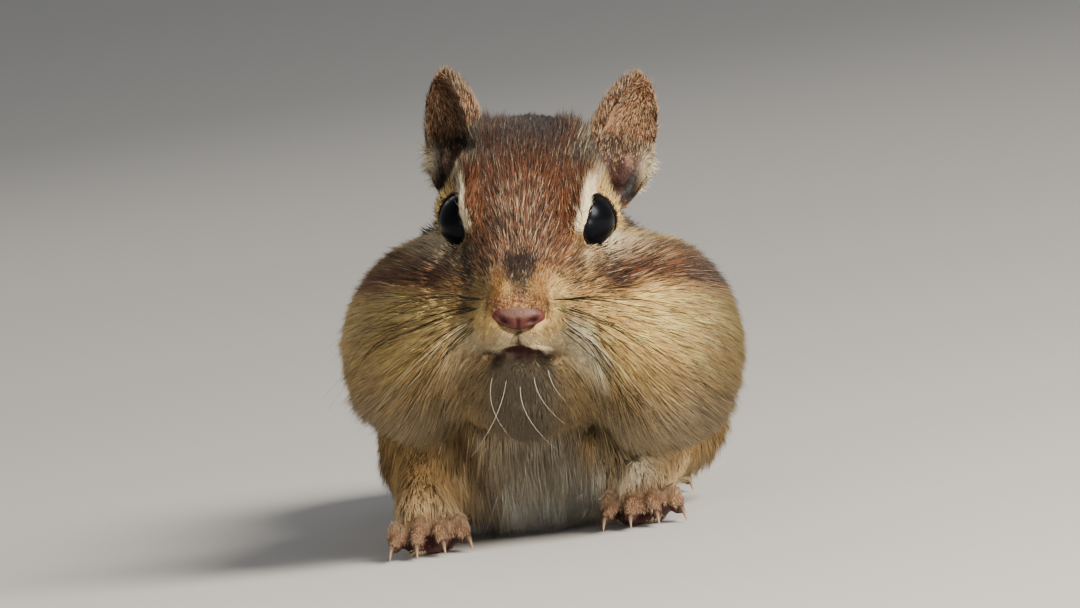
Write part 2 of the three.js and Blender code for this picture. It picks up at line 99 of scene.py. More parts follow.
back = Vector((0, -math.cos(CAMERA_RISE), math.sin(CAMERA_RISE)))
level_up = Vector((0, math.sin(CAMERA_RISE), math.cos(CAMERA_RISE)))
turn = Matrix.Rotation(CAMERA_ROLL, 3, back)
camera_right = turn @ Vector((1, 0, 0))
camera_up = turn @ level_up
aim = eyes_at + camera_right * ((FRAME_PIXELS[0] / 2 - EYES_PIXEL[0]) / PIXELS_A_MM * MM)
aim = aim - camera_up * ((FRAME_PIXELS[1] / 2 - EYES_PIXEL[1]) / PIXELS_A_MM * MM)
lens = bpy.data.cameras.new("camera")
lens.sensor_width = SENSOR
lens.lens = SENSOR * CAMERA_FAR / (FRAME_PIXELS[0] / PIXELS_A_MM * MM)
camera = in_scene("camera", lens)
camera_axes = Matrix((camera_right, camera_up, back)).transposed()
camera.matrix_world = Matrix.Translation(aim + back * CAMERA_FAR) @ camera_axes.to_4x4()
bpy.context.scene.camera = camera

# Soft studio light: a round key from the upper right of the picture, a low one near the camera that reaches
# the chest under the cheeks, a weak cool fill from the left, and a rim light from behind, under a pale sky.
# Each has its place in metres from the eyes, its size in metres, its power in watts and its colour.
LIGHTS = {
    "key": ((0.66, -0.62, 0.62), 0.6, 34.0, (1.0, 0.93, 0.82)),
    "low": ((0.36, -0.92, -0.02), 0.16, 6.5, (1.0, 0.94, 0.84)),
    "fill": ((-0.45, -0.95, 0.12), 0.3, 1.8, (0.95, 0.96, 1.0)),
    "rim": ((-0.3, 0.9, 0.5), 0.5, 1.3, (1.0, 0.92, 0.82)),
}
for name, (place, size, power, colour) in LIGHTS.items():
    lamp = bpy.data.lights.new(name, "AREA")
    lamp.shape = "DISK"
    lamp.size = size
    lamp.energy = power
    lamp.color = colour
    light = in_scene(name, lamp)
    light.location = eyes_at + Vector(place)
    light.rotation_euler = Vector(place).to_track_quat("Z", "Y").to_euler()

SKY_COLOUR = (0.82, 0.85, 0.9, 1)
SKY_STRENGTH = 0.27
sky = bpy.data.worlds.new("sky")
sky.use_nodes = True
sky.node_tree.nodes["Background"].inputs["Color"].default_value = SKY_COLOUR
sky.node_tree.nodes["Background"].inputs["Strength"].default_value = SKY_STRENGTH
bpy.context.scene.world = sky

# The floor: a plain pale sheet, wide enough to fill the view.
FLOOR_REACH = 12.0
FLOOR_COLOUR = (0.54, 0.53, 0.51, 1)
shape = bmesh.new()
bmesh.ops.create_circle(shape, cap_ends=True, segments=96, radius=FLOOR_REACH)
floor_mesh = bpy.data.meshes.new("floor")
shape.to_mesh(floor_mesh)
shape.free()
floor = in_scene("floor", floor_mesh)
paint = bpy.data.materials.new("floor_paint")
paint.use_nodes = True
paint.node_tree.nodes["Principled BSDF"].inputs["Base Color"].default_value = FLOOR_COLOUR
paint.node_tree.nodes["Principled BSDF"].inputs["Roughness"].default_value = 0.85
floor_mesh.materials.append(paint)

# The eyes: dark glossy balls, each turned outwards and shown through a drop-shaped opening, narrow above and
# wide below. The opening is an angle from the gaze that changes round it, from the top towards the nose.
EYE_RADIUS = 4.5
EYE_SHIFT = np.array((0.1, 0.1, -0.3))  # from the middle of the solid ball, on the animal's left side
GAZE_OUT = math.radians(53)
GAZE_LIFT = math.radians(4)
OPENING = {"mean": 49.8, "lower": 5.3, "hinder": 2.0, "taller": 5.8, "point": 4.5}
LID_THICK = 0.29
LID_COLOUR = (0.004, 0.003, 0.003, 1)
EYE_COLOUR = (0.002, 0.002, 0.003, 1)
GLINT_COLOUR = (0.75, 0.85, 1.0, 1)

SIDES = {"left": np.array((1, 1, 1)), "right": np.array((-1, 1, 1))}
gaze = np.array((math.sin(GAZE_OUT), -math.cos(GAZE_OUT), math.tan(GAZE_LIFT)))
gaze = gaze / np.linalg.norm(gaze)
eye_top = np.array((0, 0, 1)) - gaze * gaze[2]
eye_top = eye_top / np.linalg.norm(eye_top)
eye_front = np.cross(gaze, eye_top)
eye_at = {side: in_head(np.array(middle_of("eye_" + side))) + EYE_SHIFT * SIDES[side] for side in SIDES}


def opening_at(angle):
    """The half width of the opening in radians, at an angle round the gaze."""
    tall = OPENING["taller"] * np.cos(2 * angle) + OPENING["point"] * np.cos(3 * angle)
    drop = OPENING["lower"] * np.cos(angle) + OPENING["hinder"] * np.sin(angle)
    return np.radians(OPENING["mean"] + tall - drop)


def new_piece(name, shape):
    """Makes a bmesh an object of the scene and frees it."""
    mesh = bpy.data.meshes.new(name)
    shape.to_mesh(mesh)
    shape.free()
    return in_scene(name, mesh)


def smooth(piece):
    for face in piece.data.polygons:
        face.use_smooth = True


def bent_rods(name, paths, sides, closed=False):
    """Round rods along lists of (place, radius) in metres, as one mesh."""
    curve = bpy.data.curves.new(name, "CURVE")
    curve.dimensions = "3D"
    curve.bevel_depth = 1
    curve.bevel_resolution = (sides - 4) // 2
    curve.use_fill_caps = True
    for path in paths:
        spline = curve.splines.new("POLY")
        spline.use_cyclic_u = closed
        spline.points.add(len(path) - 1)
        for point, (place, radius) in zip(spline.points, path):
            point.co = (*place, 1)
            point.radius = radius
    drawn = in_scene(name, curve)
    graph = bpy.context.evaluated_depsgraph_get()
    mesh = bpy.data.meshes.new_from_object(drawn.evaluated_get(graph))
    bpy.data.objects.remove(drawn)
    return mesh


def finish_piece(piece, material, slot, *nodes):
    """Gives a piece its material, its body and the solids that it stands for. The slot is not used."""
    piece.data.materials.clear()
    piece.data.materials.append(material)
    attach(piece, "root")
    if nodes:
        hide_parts(*nodes)


# A grain shared by all materials: fine noise that breaks up the colour and the roughness and raises a slight
# relief.
GRAIN_SPREAD = (0.8, 1.2)
GRAIN_DEPTH = 0.0002
grain = bpy.data.node_groups.new("grain", "ShaderNodeTree")
for name, kind in (("Color", "Color"), ("Roughness", "Float"), ("Scale", "Float"), ("Relief", "Float")):
    grain.interface.new_socket(name=name, in_out="INPUT", socket_type="NodeSocket" + kind)
for name, kind in (("Color", "Color"), ("Roughness", "Float"), ("Normal", "Vector")):
    grain.interface.new_socket(name=name, in_out="OUTPUT", socket_type="NodeSocket" + kind)
given = grain.nodes.new("NodeGroupInput").outputs
result = grain.nodes.new("NodeGroupOutput").inputs
coords = grain.nodes.new("ShaderNodeTexCoord").outputs
noise = grain.nodes.new("ShaderNodeTexNoise")
share_of = grain.nodes.new("ShaderNodeMapRange")
share_of.inputs["To Min"].default_value = GRAIN_SPREAD[0]
share_of.inputs["To Max"].default_value = GRAIN_SPREAD[1]
toned = grain.nodes.new("ShaderNodeVectorMath")
toned.operation = "SCALE"
roughened = grain.nodes.new("ShaderNodeMath")
roughened.operation = "MULTIPLY"
relief = grain.nodes.new("ShaderNodeBump")
relief.inputs["Distance"].default_value = GRAIN_DEPTH
for start, end in (
    (coords["Object"], noise.inputs["Vector"]),
    (given["Scale"], noise.inputs["Scale"]),
    (noise.outputs["Fac"], share_of.inputs["Value"]),
    (given["Color"], toned.inputs[0]),
    (share_of.outputs["Result"], toned.inputs["Scale"]),
    (toned.outputs["Vector"], result["Color"]),
    (given["Roughness"], roughened.inputs[0]),
    (share_of.outputs["Result"], roughened.inputs[1]),
    (roughened.outputs["Value"], result["Roughness"]),
    (given["Relief"], relief.inputs["Strength"]),
    (noise.outputs["Fac"], relief.inputs["Height"]),
    (relief.outputs["Normal"], result["Normal"]),
):
    grain.links.new(start, end)


def grained_material(name, roughness, gloss, scale, relief, colour=None):
    """A material with the grain, of one colour or of the colours stored on the mesh."""
    paint = bpy.data.materials.new(name)
    paint.use_nodes = True
    nodes = paint.node_tree.nodes
    links = paint.node_tree.links
    shader = nodes["Principled BSDF"]
    group = nodes.new("ShaderNodeGroup")
    group.node_tree = grain
    group.inputs["Roughness"].default_value = roughness
    group.inputs["Scale"].default_value = scale
    group.inputs["Relief"].default_value = relief
    if colour:
        group.inputs["Color"].default_value = colour
    else:
        stored = nodes.new("ShaderNodeAttribute")
        stored.attribute_name = "coat_colour"
        links.new(stored.outputs["Color"], group.inputs["Color"])
    links.new(group.outputs["Color"], shader.inputs["Base Color"])
    links.new(group.outputs["Roughness"], shader.inputs["Roughness"])
    links.new(group.outputs["Normal"], shader.inputs["Normal"])
    shader.inputs["Specular IOR Level"].default_value = gloss
    return paint


eye_gloss = grained_material("eye", roughness=0.27, gloss=0.11, scale=300, relief=0, colour=EYE_COLOUR)
eye_gloss.node_tree.nodes["Principled BSDF"].inputs["Specular Tint"].default_value = GLINT_COLOUR
lid_skin = grained_material("lid_skin", roughness=0.6, gloss=0.1, scale=3000, relief=0.3, colour=LID_COLOUR)
for side, mirror in SIDES.items():
    shape = bmesh.new()
    bmesh.ops.create_uvsphere(shape, u_segments=64, v_segments=40, radius=EYE_RADIUS * MM)
    bmesh.ops.translate(shape, verts=shape.verts, vec=from_head(eye_at[side]))
    eyeball = new_piece("eyeball_" + side, shape)
    smooth(eyeball)
    finish_piece(eyeball, eye_gloss, "eye", "eye_" + side)

    rim = []
    for angle in np.linspace(0, 2 * math.pi, 64, endpoint=False):
        wide = opening_at(angle)
        across = eye_top * math.cos(angle) + eye_front * math.sin(angle)
        way = gaze * math.cos(wide) + across * math.sin(wide)
        rim.append((from_head(eye_at[side] + way * mirror * EYE_RADIUS), LID_THICK * MM))
    lid = in_scene("lid_" + side, bent_rods("lid_" + side, [rim], 10, closed=True))
    smooth(lid)
    finish_piece(lid, lid_skin, "eye")

# The skin: one closed surface over head, trunk, limbs, feet and the core of the tail. Copies of the solids
# are swollen until they run into each other, made one surface, and drawn in again by the depth of the coat,
# so that the hair ends where the solids do. It is finest on the feet and the ears.
SKIN_PARTS = {
    "trunk": (1.1, 0.4, ("torso", "neck", "upper_arm", "forearm", "thigh", "shank")),
    "face": (0.5, 0.4, ("head", "lower_jaw", "cheek_pouch")),
    "ears": (0.4, 0.25, ("ear",)),
    "feet": (0.33, 0.14, ("forefoot", "hindfoot")),
}  # the size of a voxel and the swelling, in millimetres
TAIL_ROOT = 12 * MM  # how far the core of the tail runs on into the rump
TAIL_CORE = (2.9 * MM, 0.9 * MM)


def nodes_of(words):
    """The nodes of flesh whose names start with one of the words."""
    return [name for name in sorted(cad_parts) if name.startswith(words) and "claw" not in name]


def merged_copy(node):
    shape = bmesh.new()
    shape.from_mesh(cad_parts[node].data)
    bmesh.ops.remove_doubles(shape, verts=shape.verts, dist=1e-7)
    return shape


def settled(piece):
    """Applies the modifiers of a piece to its mesh."""
    graph = bpy.context.evaluated_depsgraph_get()
    mesh = bpy.data.meshes.new_from_object(piece.evaluated_get(graph))
    piece.modifiers.clear()
    piece.data = mesh
    return piece


def numbers_of(items, what, width, kind=np.float64):
    values = np.empty(len(items) * width, kind)
    items.foreach_get(what, values)
    return values.reshape(-1, width)


# The line of the tail is fitted through the middles of its solids.
tail_nodes = nodes_of(("tail",))
tail_solids = [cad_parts[node].data for node in tail_nodes]
tail_points = np.concatenate([numbers_of(solid.vertices, "co", 3) for solid in tail_solids])
tail_start = tail_points[:, 1].min()
tail_end = tail_points[:, 1].max()
tail_fits = [np.polyfit(tail_points[:, 1], tail_points[:, axis], 4) for axis in (0, 2)]
tail_steps = np.linspace(tail_start, tail_end - 4 * MM, 40)
tail_sideways, tail_high = [np.polyval(fit, tail_steps) for fit in tail_fits]
tail_line = np.stack([tail_sideways, tail_steps, tail_high], -1)
tail_path = [(place, np.interp(place[1], (tail_start, tail_end), TAIL_CORE)) for place in tail_line]
tail_heading = Vector(tail_line[0] - tail_line[2]).normalized()
tail_path.insert(0, (Vector(tail_line[0]) + tail_heading * TAIL_ROOT, TAIL_CORE[0]))


def unit(vectors):
    return vectors / np.maximum(np.linalg.norm(vectors, axis=-1, keepdims=True), 1e-12)


# The toes are round fingers laid along the line of each claw, from the knuckles to just past the claw's
# root. The front of each foot is drawn back to the knuckles to make room for them. A toe is given by its
# height and its half thickness at shares of its length, and the knuckles by their place along the body, in
# millimetres.
claws = sorted(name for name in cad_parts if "claw" in name)
TOE_LONG = {"forefoot": 7.0, "hindfoot": 8.0}
TOE = ((0.0, 3.3, 1.45), (0.3, 3.9, 1.5), (0.55, 3.3, 1.4), (0.8, 2.2, 1.45), (1.0, 1.75, 1.15))
KNUCKLES = {"forefoot": -73.0, "hindfoot": -23.5}
DRAWN_BACK = 0.3
CLAW_ROOT = 0.6 * MM  # the length of claw that counts as its root
claw_lines = {}
for node in claws:
    horn_points = numbers_of(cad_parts[node].data.vertices, "co", 3)
    root = horn_points[horn_points[:, 1] > horn_points[:, 1].max() - CLAW_ROOT].mean(0)
    tip = horn_points[horn_points[:, 1].argmin()]
    claw_lines[node] = (root, unit((tip - root) * (1, 1, 0)), np.linalg.norm(tip - root))


def toe_rods(foot):
    paths = []
    for node in claws:
        if not node.startswith(foot):
            continue
        root, ahead_of, _ = claw_lines[node]
        paths.append([])
        for share, high, thick in TOE:
            place = root - ahead_of * (TOE_LONG[foot.split("_")[0]] * (1 - share) * MM)
            paths[-1].append(((place[0], place[1], high * MM), thick * MM))
    return bent_rods("toes", paths, 12)


def swollen_shell(name, voxel, swell, nodes):
    shell = bmesh.new()
    for node in nodes:
        part = merged_copy(node)
        if name == "feet":
            knuckles = KNUCKLES[node.split("_")[0]] * MM
            for vertex in part.verts:
                if vertex.co.y < knuckles:
                    vertex.co.y = knuckles + (vertex.co.y - knuckles) * DRAWN_BACK
            shell.from_mesh(toe_rods(node))
        part.normal_update()
        for vertex in part.verts:
            vertex.co += vertex.normal * swell * MM
        mesh = bpy.data.meshes.new(node)
        part.to_mesh(mesh)
        part.free()
        shell.from_mesh(mesh)
        bpy.data.meshes.remove(mesh)
    if name == "trunk":
        shell.from_mesh(bent_rods("tail_core", [tail_path], 12))
    piece = new_piece(name, shell)
    remesh = piece.modifiers.new("one surface", "REMESH")
    remesh.mode = "VOXEL"
    remesh.voxel_size = voxel * MM
    return settled(piece)


shells = []
for name, (voxel, swell, words) in SKIN_PARTS.items():
    shells.append(swollen_shell(name, voxel, swell, nodes_of(words)))
skin = shells[0]
skin.name = "skin"
for other in shells[1:]:
    join = skin.modifiers.new("join", "BOOLEAN")
    join.operation = "UNION"
    join.solver = "MANIFOLD"
    join.object = other
settled(skin)
for other in shells[1:]:
    bpy.data.objects.remove(other)

# How the coat grows over each part of the body: the length of its hair in millimetres, the tufts on a square
# millimetre, the width of a tuft at its root, and the angle at which it rises in degrees.
GROWTH = {
    "head": (2.7, 38, 0.17, 22),
    "lower_jaw": (3.0, 22, 0.19, 22),
    "cheek_pouch": (4.8, 31, 0.19, 21),
    "ear": (0.8, 34, 0.12, 14),
    "neck": (5.5, 6, 0.3, 22),
    "torso": (6.5, 6.5, 0.36, 21),
    "upper_arm": (4.4, 9, 0.3, 19),
    "forearm": (4.3, 15, 0.24, 17),
    "forefoot": (1.3, 16, 0.13, 12),
    "thigh": (5.6, 6, 0.36, 19),
    "shank": (3.4, 8, 0.3, 18),
    "hindfoot": (1.3, 12, 0.15, 12),
    "tail": (11.5, 17, 0.24, 34),
}
LIE = {
    "neck": (0, 0.6, -0.8),
    "torso": (0, 1, -0.25),
    "upper_arm": (0, -0.1, -1),
    "forearm": (0, -0.9, -0.4),
    "forefoot": (0, -1, -0.2),
    "thigh": (0, 0.6, -0.8),
    "shank": (0, 1, -0.4),
    "hindfoot": (0, -1, -0.1),
    "tail": (0, 1, 0),
}  # the way that the hair points, on the trunk and limbs
BLENDING = 14  # rounds of evening out between one part's coat and the next
NOSE_TIP = (0, -15.5, -13)
NOSE_SHORT = 0.34  # the share of its length that the hair has beside the nose
NOSE_REACH = 17  # where it has its full length, in millimetres from the nose
COAT_DEPTH = 0.8  # the skin lies this share of the hair's rise below the solids

count = len(skin.data.vertices)
edges = numbers_of(skin.data.edges, "vertices", 2, np.int32)
ends = np.concatenate([edges, edges[:, ::-1]])
neighbours = np.bincount(ends[:, 0], minlength=count)


def spread(values, rounds):
    """Evens values out over the skin, each point with its neighbours."""
    values = np.array(values, float)
    for column in values.reshape(count, -1).T:
        for _ in range(rounds):
            sums = np.bincount(ends[:, 0], column[ends[:, 1]], count)
            column[:] = (column + sums / neighbours) / 2
    return values


def rising(values, start, over):
    """Nothing up to a start, then one after rising softly over a given stretch."""
    share = np.clip((values - start) / over, 0, 1)
    return share * share * (3 - 2 * share)


def falling(values, end, over):
    """One while well below an end, falling softly to nothing over the stretch before it."""
    return rising(-values, -end, over)


def reshape_skin(places):
    skin.data.vertices.foreach_set("co", places.ravel())
    skin.data.update()


flesh = nodes_of(tuple(GROWTH))
corners = []
faces = []
owners = []
for index, node in enumerate(flesh):
    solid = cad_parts[node].data
    start = len(corners)
    corners += [vertex.co for vertex in solid.vertices]
    faces += [[start + corner for corner in face.vertices] for face in solid.polygons]
    owners += [index] * len(solid.polygons)
solids = BVHTree.FromPolygons(corners, faces)

places = numbers_of(skin.data.vertices, "co", 3)
owner = np.array([owners[solids.find_nearest(place)[2]] for place in places])
regions = list(GROWTH)
region_of_node = np.array([[node.startswith(word) for word in regions].index(True) for node in flesh])
region = region_of_node[owner]
weights = spread(np.eye(len(regions))[region], BLENDING)
length, density, width, rise = (weights @ np.array(list(GROWTH.values()))).T


def of_region(*names):
    return sum(weights[:, regions.index(name)] for name in names)


# The hair is longer low on the chest, longer and higher low on the cheeks and at the corners of the crown,
# and short beside the nose.
in_face = in_head(places)
x, y, z = (places / MM).T
face_weight = of_region("head", "lower_jaw", "cheek_pouch")
breast = of_region("torso") * falling(y, -48, 8) * falling(z, 22, 12)
cheek_low = of_region("cheek_pouch") * falling(in_face[:, 2], -17, 8)
corner = of_region("head", "ear") * rising(in_face[:, 2], 8, 4) * rising(np.abs(in_face[:, 0]), 4, 3)
for where, longer, higher in ((breast, 0.6, 0), (cheek_low, 0.35, 6), (corner, 0.9, 26)):
    length = length * (1 + longer * where)
    rise = rise + higher * where
from_nose = np.linalg.norm(in_face - NOSE_TIP, axis=1)
length = length * (1 - face_weight * (1 - np.clip(from_nose / NOSE_REACH, NOSE_SHORT, 1)))

# The skin is drawn in by the depth of the coat and by the swelling that joined its parts.
CORNER_FULL = 0.6  # the corners of the crown are drawn in by this share less
depth = length * np.sin(np.radians(rise)) * COAT_DEPTH * (1 - CORNER_FULL * corner)
depth[region == regions.index("tail")] = 0
depth = spread(depth, 8)
swell_of = {word: swell for _, swell, words in SKIN_PARTS.values() for word in words}
swell_of["tail"] = SKIN_PARTS["trunk"][1]
swelling = spread(np.array([swell_of[name] for name in regions])[region], 4)
feet = of_region("forefoot", "hindfoot")[:, None]
places = spread(places, 5) * (1 - feet) + spread(places, 1) * feet
reshape_skin(places)
normals = spread(numbers_of(skin.data.vertices, "normal", 3), 3)
places = places - unit(normals) * (swelling + depth)[:, None] * MM
places[:, 2] = np.maximum(places[:, 2], 0)
in_face = in_head(places)

# The ears are kept a little shorter than the solids, since their hair stands past the tips.
EAR_TRIM = 0.08
in_face[:, 2] -= EAR_TRIM * of_region("ear") * np.clip(in_face[:, 2] - 10, 0, None)

# Round each eye the skin is drawn back out of the opening and laid on the ball beyond it. Distances from the
# ball are in millimetres off its surface.
LID_REACH = math.radians(16)
LID_LAP = math.radians(2.2)
LID_RISE = (0.15, 1.1)  # at the rim, and how much more at the end of its reach
SECTORS = 24
SECTOR_TURN = 2 * math.pi / SECTORS
RIM_PULL = math.radians(30)
ON_BALL = 1.2
SOCKET_WALL = 1.6
NEAR_BALL = 5
PULL_ENDS = 6
SUNK = 0.9
socket = np.zeros(count)
in_normals = normals @ head_axes.T
away_from_eyes = np.zeros((count, 3))
rim_gap = np.full(count, 99.0)  # the distance to the nearer opening, in millimetres
rim_turn = np.zeros(count)  # the angle round that opening, from the top towards the nose
for side, mirror in SIDES.items():
    offset = (in_face - eye_at[side]) * mirror
    gap = np.linalg.norm(offset, axis=1)
    way = offset / gap[:, None]
    angle = np.arctan2(way @ eye_front, way @ eye_top)
    away = np.arccos(np.clip(way @ gaze, -1, 1))
    beyond = away - opening_at(angle)
    sector = ((angle + math.pi) / SECTOR_TURN).astype(int) % SECTORS
    at_ball = gap < EYE_RADIUS + ON_BALL
    edge = np.array([beyond[at_ball & (sector == index)].min() for index in range(SECTORS)])
    edge = np.clip(edge, 0, None)
    edge = (np.roll(edge, 1) + 2 * edge + np.roll(edge, -1)) / 4
    middles = (np.arange(SECTORS) + 0.5) * SECTOR_TURN - math.pi
    edge = np.interp(angle, middles, edge, period=2 * math.pi)
    drawn = edge * (1 - rising(beyond, edge, RIM_PULL)) * falling(gap, EYE_RADIUS + PULL_ENDS, 4)
    beyond = beyond - drawn
    away = away - drawn
    way = gaze * np.cos(away)[:, None] + unit(way - gaze * (way @ gaze)[:, None]) * np.sin(away)[:, None]
    near = gap < EYE_RADIUS + NEAR_BALL
    wall = (gap < EYE_RADIUS + SOCKET_WALL) & ((in_normals * mirror * way).sum(1) < -0.1)
    socket = np.maximum(socket, wall)
    inside = (near & (beyond < -LID_LAP)) | wall
    round_it = near & ~inside & (beyond < LID_REACH)
    laid = EYE_RADIUS + LID_RISE[0] + LID_RISE[1] * np.clip(beyond / LID_REACH, 0, 1)
    share = rising(beyond, 0, LID_REACH)
    wanted = np.where(inside, np.minimum(gap, EYE_RADIUS - SUNK), gap)
    wanted = np.where(round_it, laid * (1 - share) + np.maximum(gap, laid) * share, wanted)
    in_face = eye_at[side] + way * wanted[:, None] * mirror
    off_rim = np.sign(beyond) * np.hypot(beyond * gap, np.maximum(gap - EYE_RADIUS - 0.4, 0))
    rim_gap = np.where(near, np.minimum(rim_gap, off_rim), rim_gap)
    rim_turn = np.where(near, np.degrees(angle), rim_turn)
    away_from_eyes += falling(gap, EYE_RADIUS + PULL_ENDS, 5)[:, None] * unit((way - gaze) * mirror)

# The crease between the muzzle and the cheeks is evened out.
CREASE = [(6.2, -9.8, -8.5), (6.8, -8.8, -13.5), (6.8, -7.4, -17.0)]
beside = np.abs(in_face * (1, 0, 0)) + in_face * (0, 1, 1)
crease = falling(np.linalg.norm(beside - np.array(CREASE)[:, None], axis=2).min(0), 3.6, 2.2)
evened = spread(in_face, 22)
in_face = in_face + (evened - in_face) * crease[:, None]

# The tip of the muzzle is filled out to an egg behind the pad of the nose.
TIP_AT = np.array((0.2, -12.6, -11.9))
TIP_HALF = np.array((4.4, 3.9, 3.7))
TIP_REACH = 5.0
TIP_FRONT = (0, -15.2, -12.9)
from_pad = np.linalg.norm(in_face - TIP_FRONT, axis=1)
in_tip = (in_face - TIP_AT) / TIP_HALF
filled = TIP_AT + in_tip / np.maximum(np.linalg.norm(in_tip, axis=1), 0.2)[:, None] * TIP_HALF
hollow = (np.linalg.norm(in_tip, axis=1) < 1) * falling(from_pad, TIP_REACH, 1.5)
in_face = in_face + (filled - in_face) * hollow[:, None]

# The line of the mouth is pressed in under the upper lip, deepest where the lips are parted.
MOUTH = [(-5, -6.3, -19.4), (-2.2, -10, -18.9), (0, -10.8, -18.9), (2.2, -10.2, -19), (4.6, -6.7, -19.8)]
UPPER_GAP = [(-1.4, 0, -18.5), (0.4, 0, -18.2), (2.2, 0, -18.5)]
LOWER_GAP = [(-0.4, 0, -19.2), (1.4, 0, -19.2)]
MOUTH_DEEP = 1.0
MOUTH_LIFT = 0.3
GAP_DEEPER = 1.8
FACE_FRONT = -7


def band(points, path, half, soft):
    """One along a bent path of (x, y, z) in millimetres, fading to nothing past its half width."""
    path = np.array(path, float)
    nearest = np.full(len(points), 1e9)
    for start, end in zip(path, path[1:]):
        step = end - start
        along = np.clip((points - start) @ step / (step @ step), 0, 1)
        nearest = np.minimum(nearest, np.linalg.norm(points - start - along[:, None] * step, axis=1))
    return falling(nearest, half + soft, soft)


in_front = (in_face[:, 1] < FACE_FRONT) * face_weight
flat = in_face * (1, 0, 1)
opened = np.maximum(band(flat, UPPER_GAP, 0.4, 0.7), band(flat, LOWER_GAP, 0.35, 0.6)) * in_front
mouth = np.maximum(band(in_face, MOUTH, 0.3, 1.0), GAP_DEEPER * opened)
in_face[:, 1] += mouth * MOUTH_DEEP
in_face[:, 2] += np.minimum(mouth, 1) * MOUTH_LIFT
places = from_head(in_face)
reshape_skin(places)
normals = numbers_of(skin.data.vertices, "normal", 3)

# The lie of the hair: away from the nose over the head and cheeks, round the eyes, up the ears, down the
# chest, back over the body, and towards the toes on the legs.
LIE_FROM = (0, -11, -12)  # in the frame of the head, behind the nose
CHEEK_DROOP = 0.25
EAR_LIE = (0, -0.2, 1)
CHEST_LIE = np.array((0, 0.1, -1))
EYE_PARTING = 1.5
x, y, z = (places / MM).T
head_x, _, head_z = in_face.T
from_muzzle = unit(in_face - LIE_FROM)
from_muzzle[:, 2] -= CHEEK_DROOP * of_region("cheek_pouch", "lower_jaw")
lie = np.zeros((count, 3))
for index, name in enumerate(regions):
    if name in ("head", "cheek_pouch", "lower_jaw"):
        way = from_muzzle @ head_axes
    elif name == "ear":
        way = np.tile(EAR_LIE @ head_axes, (count, 1))
    else:
        way = np.tile(LIE[name], (count, 1))
    if name == "torso":
        front = falling(y, -48, 8)[:, None]
        way = way * (1 - front) + CHEST_LIE * front
    lie += weights[:, index:index + 1] * way
lie += EYE_PARTING * away_from_eyes @ head_axes
lie = lie - normals * (lie * normals).sum(1, keepdims=True)
lie = unit(spread(unit(lie), 5))


# The markings, laid one over the other on the skin and its coat. Besides its colour each can turn a share of
# its tufts dark or pale.
def linear(red, green, blue):
    shares = np.array((red, green, blue)) / 255
    return np.where(shares <= 0.04045, shares / 12.92, ((shares + 0.055) / 1.055) ** 2.4)


SHADE = np.zeros(3)
BLACK = linear(30, 22, 17)
UMBER = linear(66, 45, 31)
OLIVE = linear(116, 96, 64)
GREY_BROWN = linear(146, 120, 88)
SHADED_THROAT = linear(108, 96, 77)
BUFF = linear(112, 74, 36)
RUSSET = linear(118, 70, 38)
RUST = linear(128, 78, 44)
RUMP = linear(160, 96, 50)
TAN = linear(164, 112, 72)
AMBER = linear(150, 106, 52)
TAWNY = linear(192, 152, 98)
GOLD = linear(232, 190, 120)
CREAM = linear(230, 212, 176)
WHITE = linear(228, 215, 188)
LIT_WHITE = linear(250, 242, 224)
MAUVE = linear(154, 116, 94)
PINK_BROWN = linear(140, 88, 60)
MAROON = linear(52, 24, 22)
FLESH = linear(70, 38, 34)
EAR_FUZZ = linear(150, 106, 72)
EAR_BACK = linear(120, 76, 44)
EAR_SKIN = linear(86, 58, 50)

tint = np.tile(TAWNY, (count, 1))
dark_share = np.zeros(count)
pale_share = np.zeros(count)


def painted(colour, mask, new):
    return colour + (new - colour) * np.clip(mask, 0, 1)[:, None]


def lay(mask, share=0, colour=SHADE, dark=0, pale=0):
    """Lays on a share of a colour. Dark and pale add tufts of that kind, or take them away when negative."""
    tint[:] = painted(tint, share * mask, colour)
    for tufts, change in ((dark_share, dark), (pale_share, pale)):
        tufts += np.maximum(change, 0) * mask
        tufts *= 1 + np.minimum(change, 0) * mask


# Trunk: grey brown above, tawny on the flanks, white below, with a dark stripe down the middle of the back
# and on each side a pale stripe between two dark ones, all ending on the rusty rump.
BACK_MIDDLE = -0.95
CHEST_MIDDLE = -1
STRIPES = ((0, 0.9, BLACK), (6.4, 0.9, BLACK), (9.0, 1.3, CREAM), (11.8, 1.1, BLACK))  # place, half, colour
STRIPE_EDGE = 0.7
trunk = of_region("torso", "neck")
up = normals[:, 2]
rump = rising(y, 0, 14) * of_region("torso", "thigh", "tail")
lay(rising(z, 26, 10) * trunk, 1, GREY_BROWN)
lay(rump, 1, RUMP)
lay(rising(z, 24, 10) * trunk * (1 - rump), dark=0.16)
lay(trunk, pale=0.04)
on_back = rising(up, 0.15, 0.2) * rising(y, -62, 8) * falling(y, 12, 10) * trunk
across = np.abs(x - BACK_MIDDLE)
for middle, half, colour in STRIPES:
    stripe = falling(np.abs(across - middle), half + STRIPE_EDGE, STRIPE_EDGE) * on_back
    lay(stripe, 0.9, colour, dark=-1)
belly = falling(z, 9, 5) * of_region("torso")
from_middle = np.abs(x - CHEST_MIDDLE)
chest = falling(from_middle + 0.2 * z, 17, 9) * falling(y, -48, 8) * falling(up, 0.2, 0.3) * trunk
lay(np.maximum(belly, chest), 1, WHITE)
# Higher up, the chest is darkened with painted shade, as under the head.
lay(chest * rising(z, 10, 9), 1, SHADED_THROAT)
# Low down, the white is brightened with painted light.
lay(chest * falling(z, 16, 6), 1, LIT_WHITE)

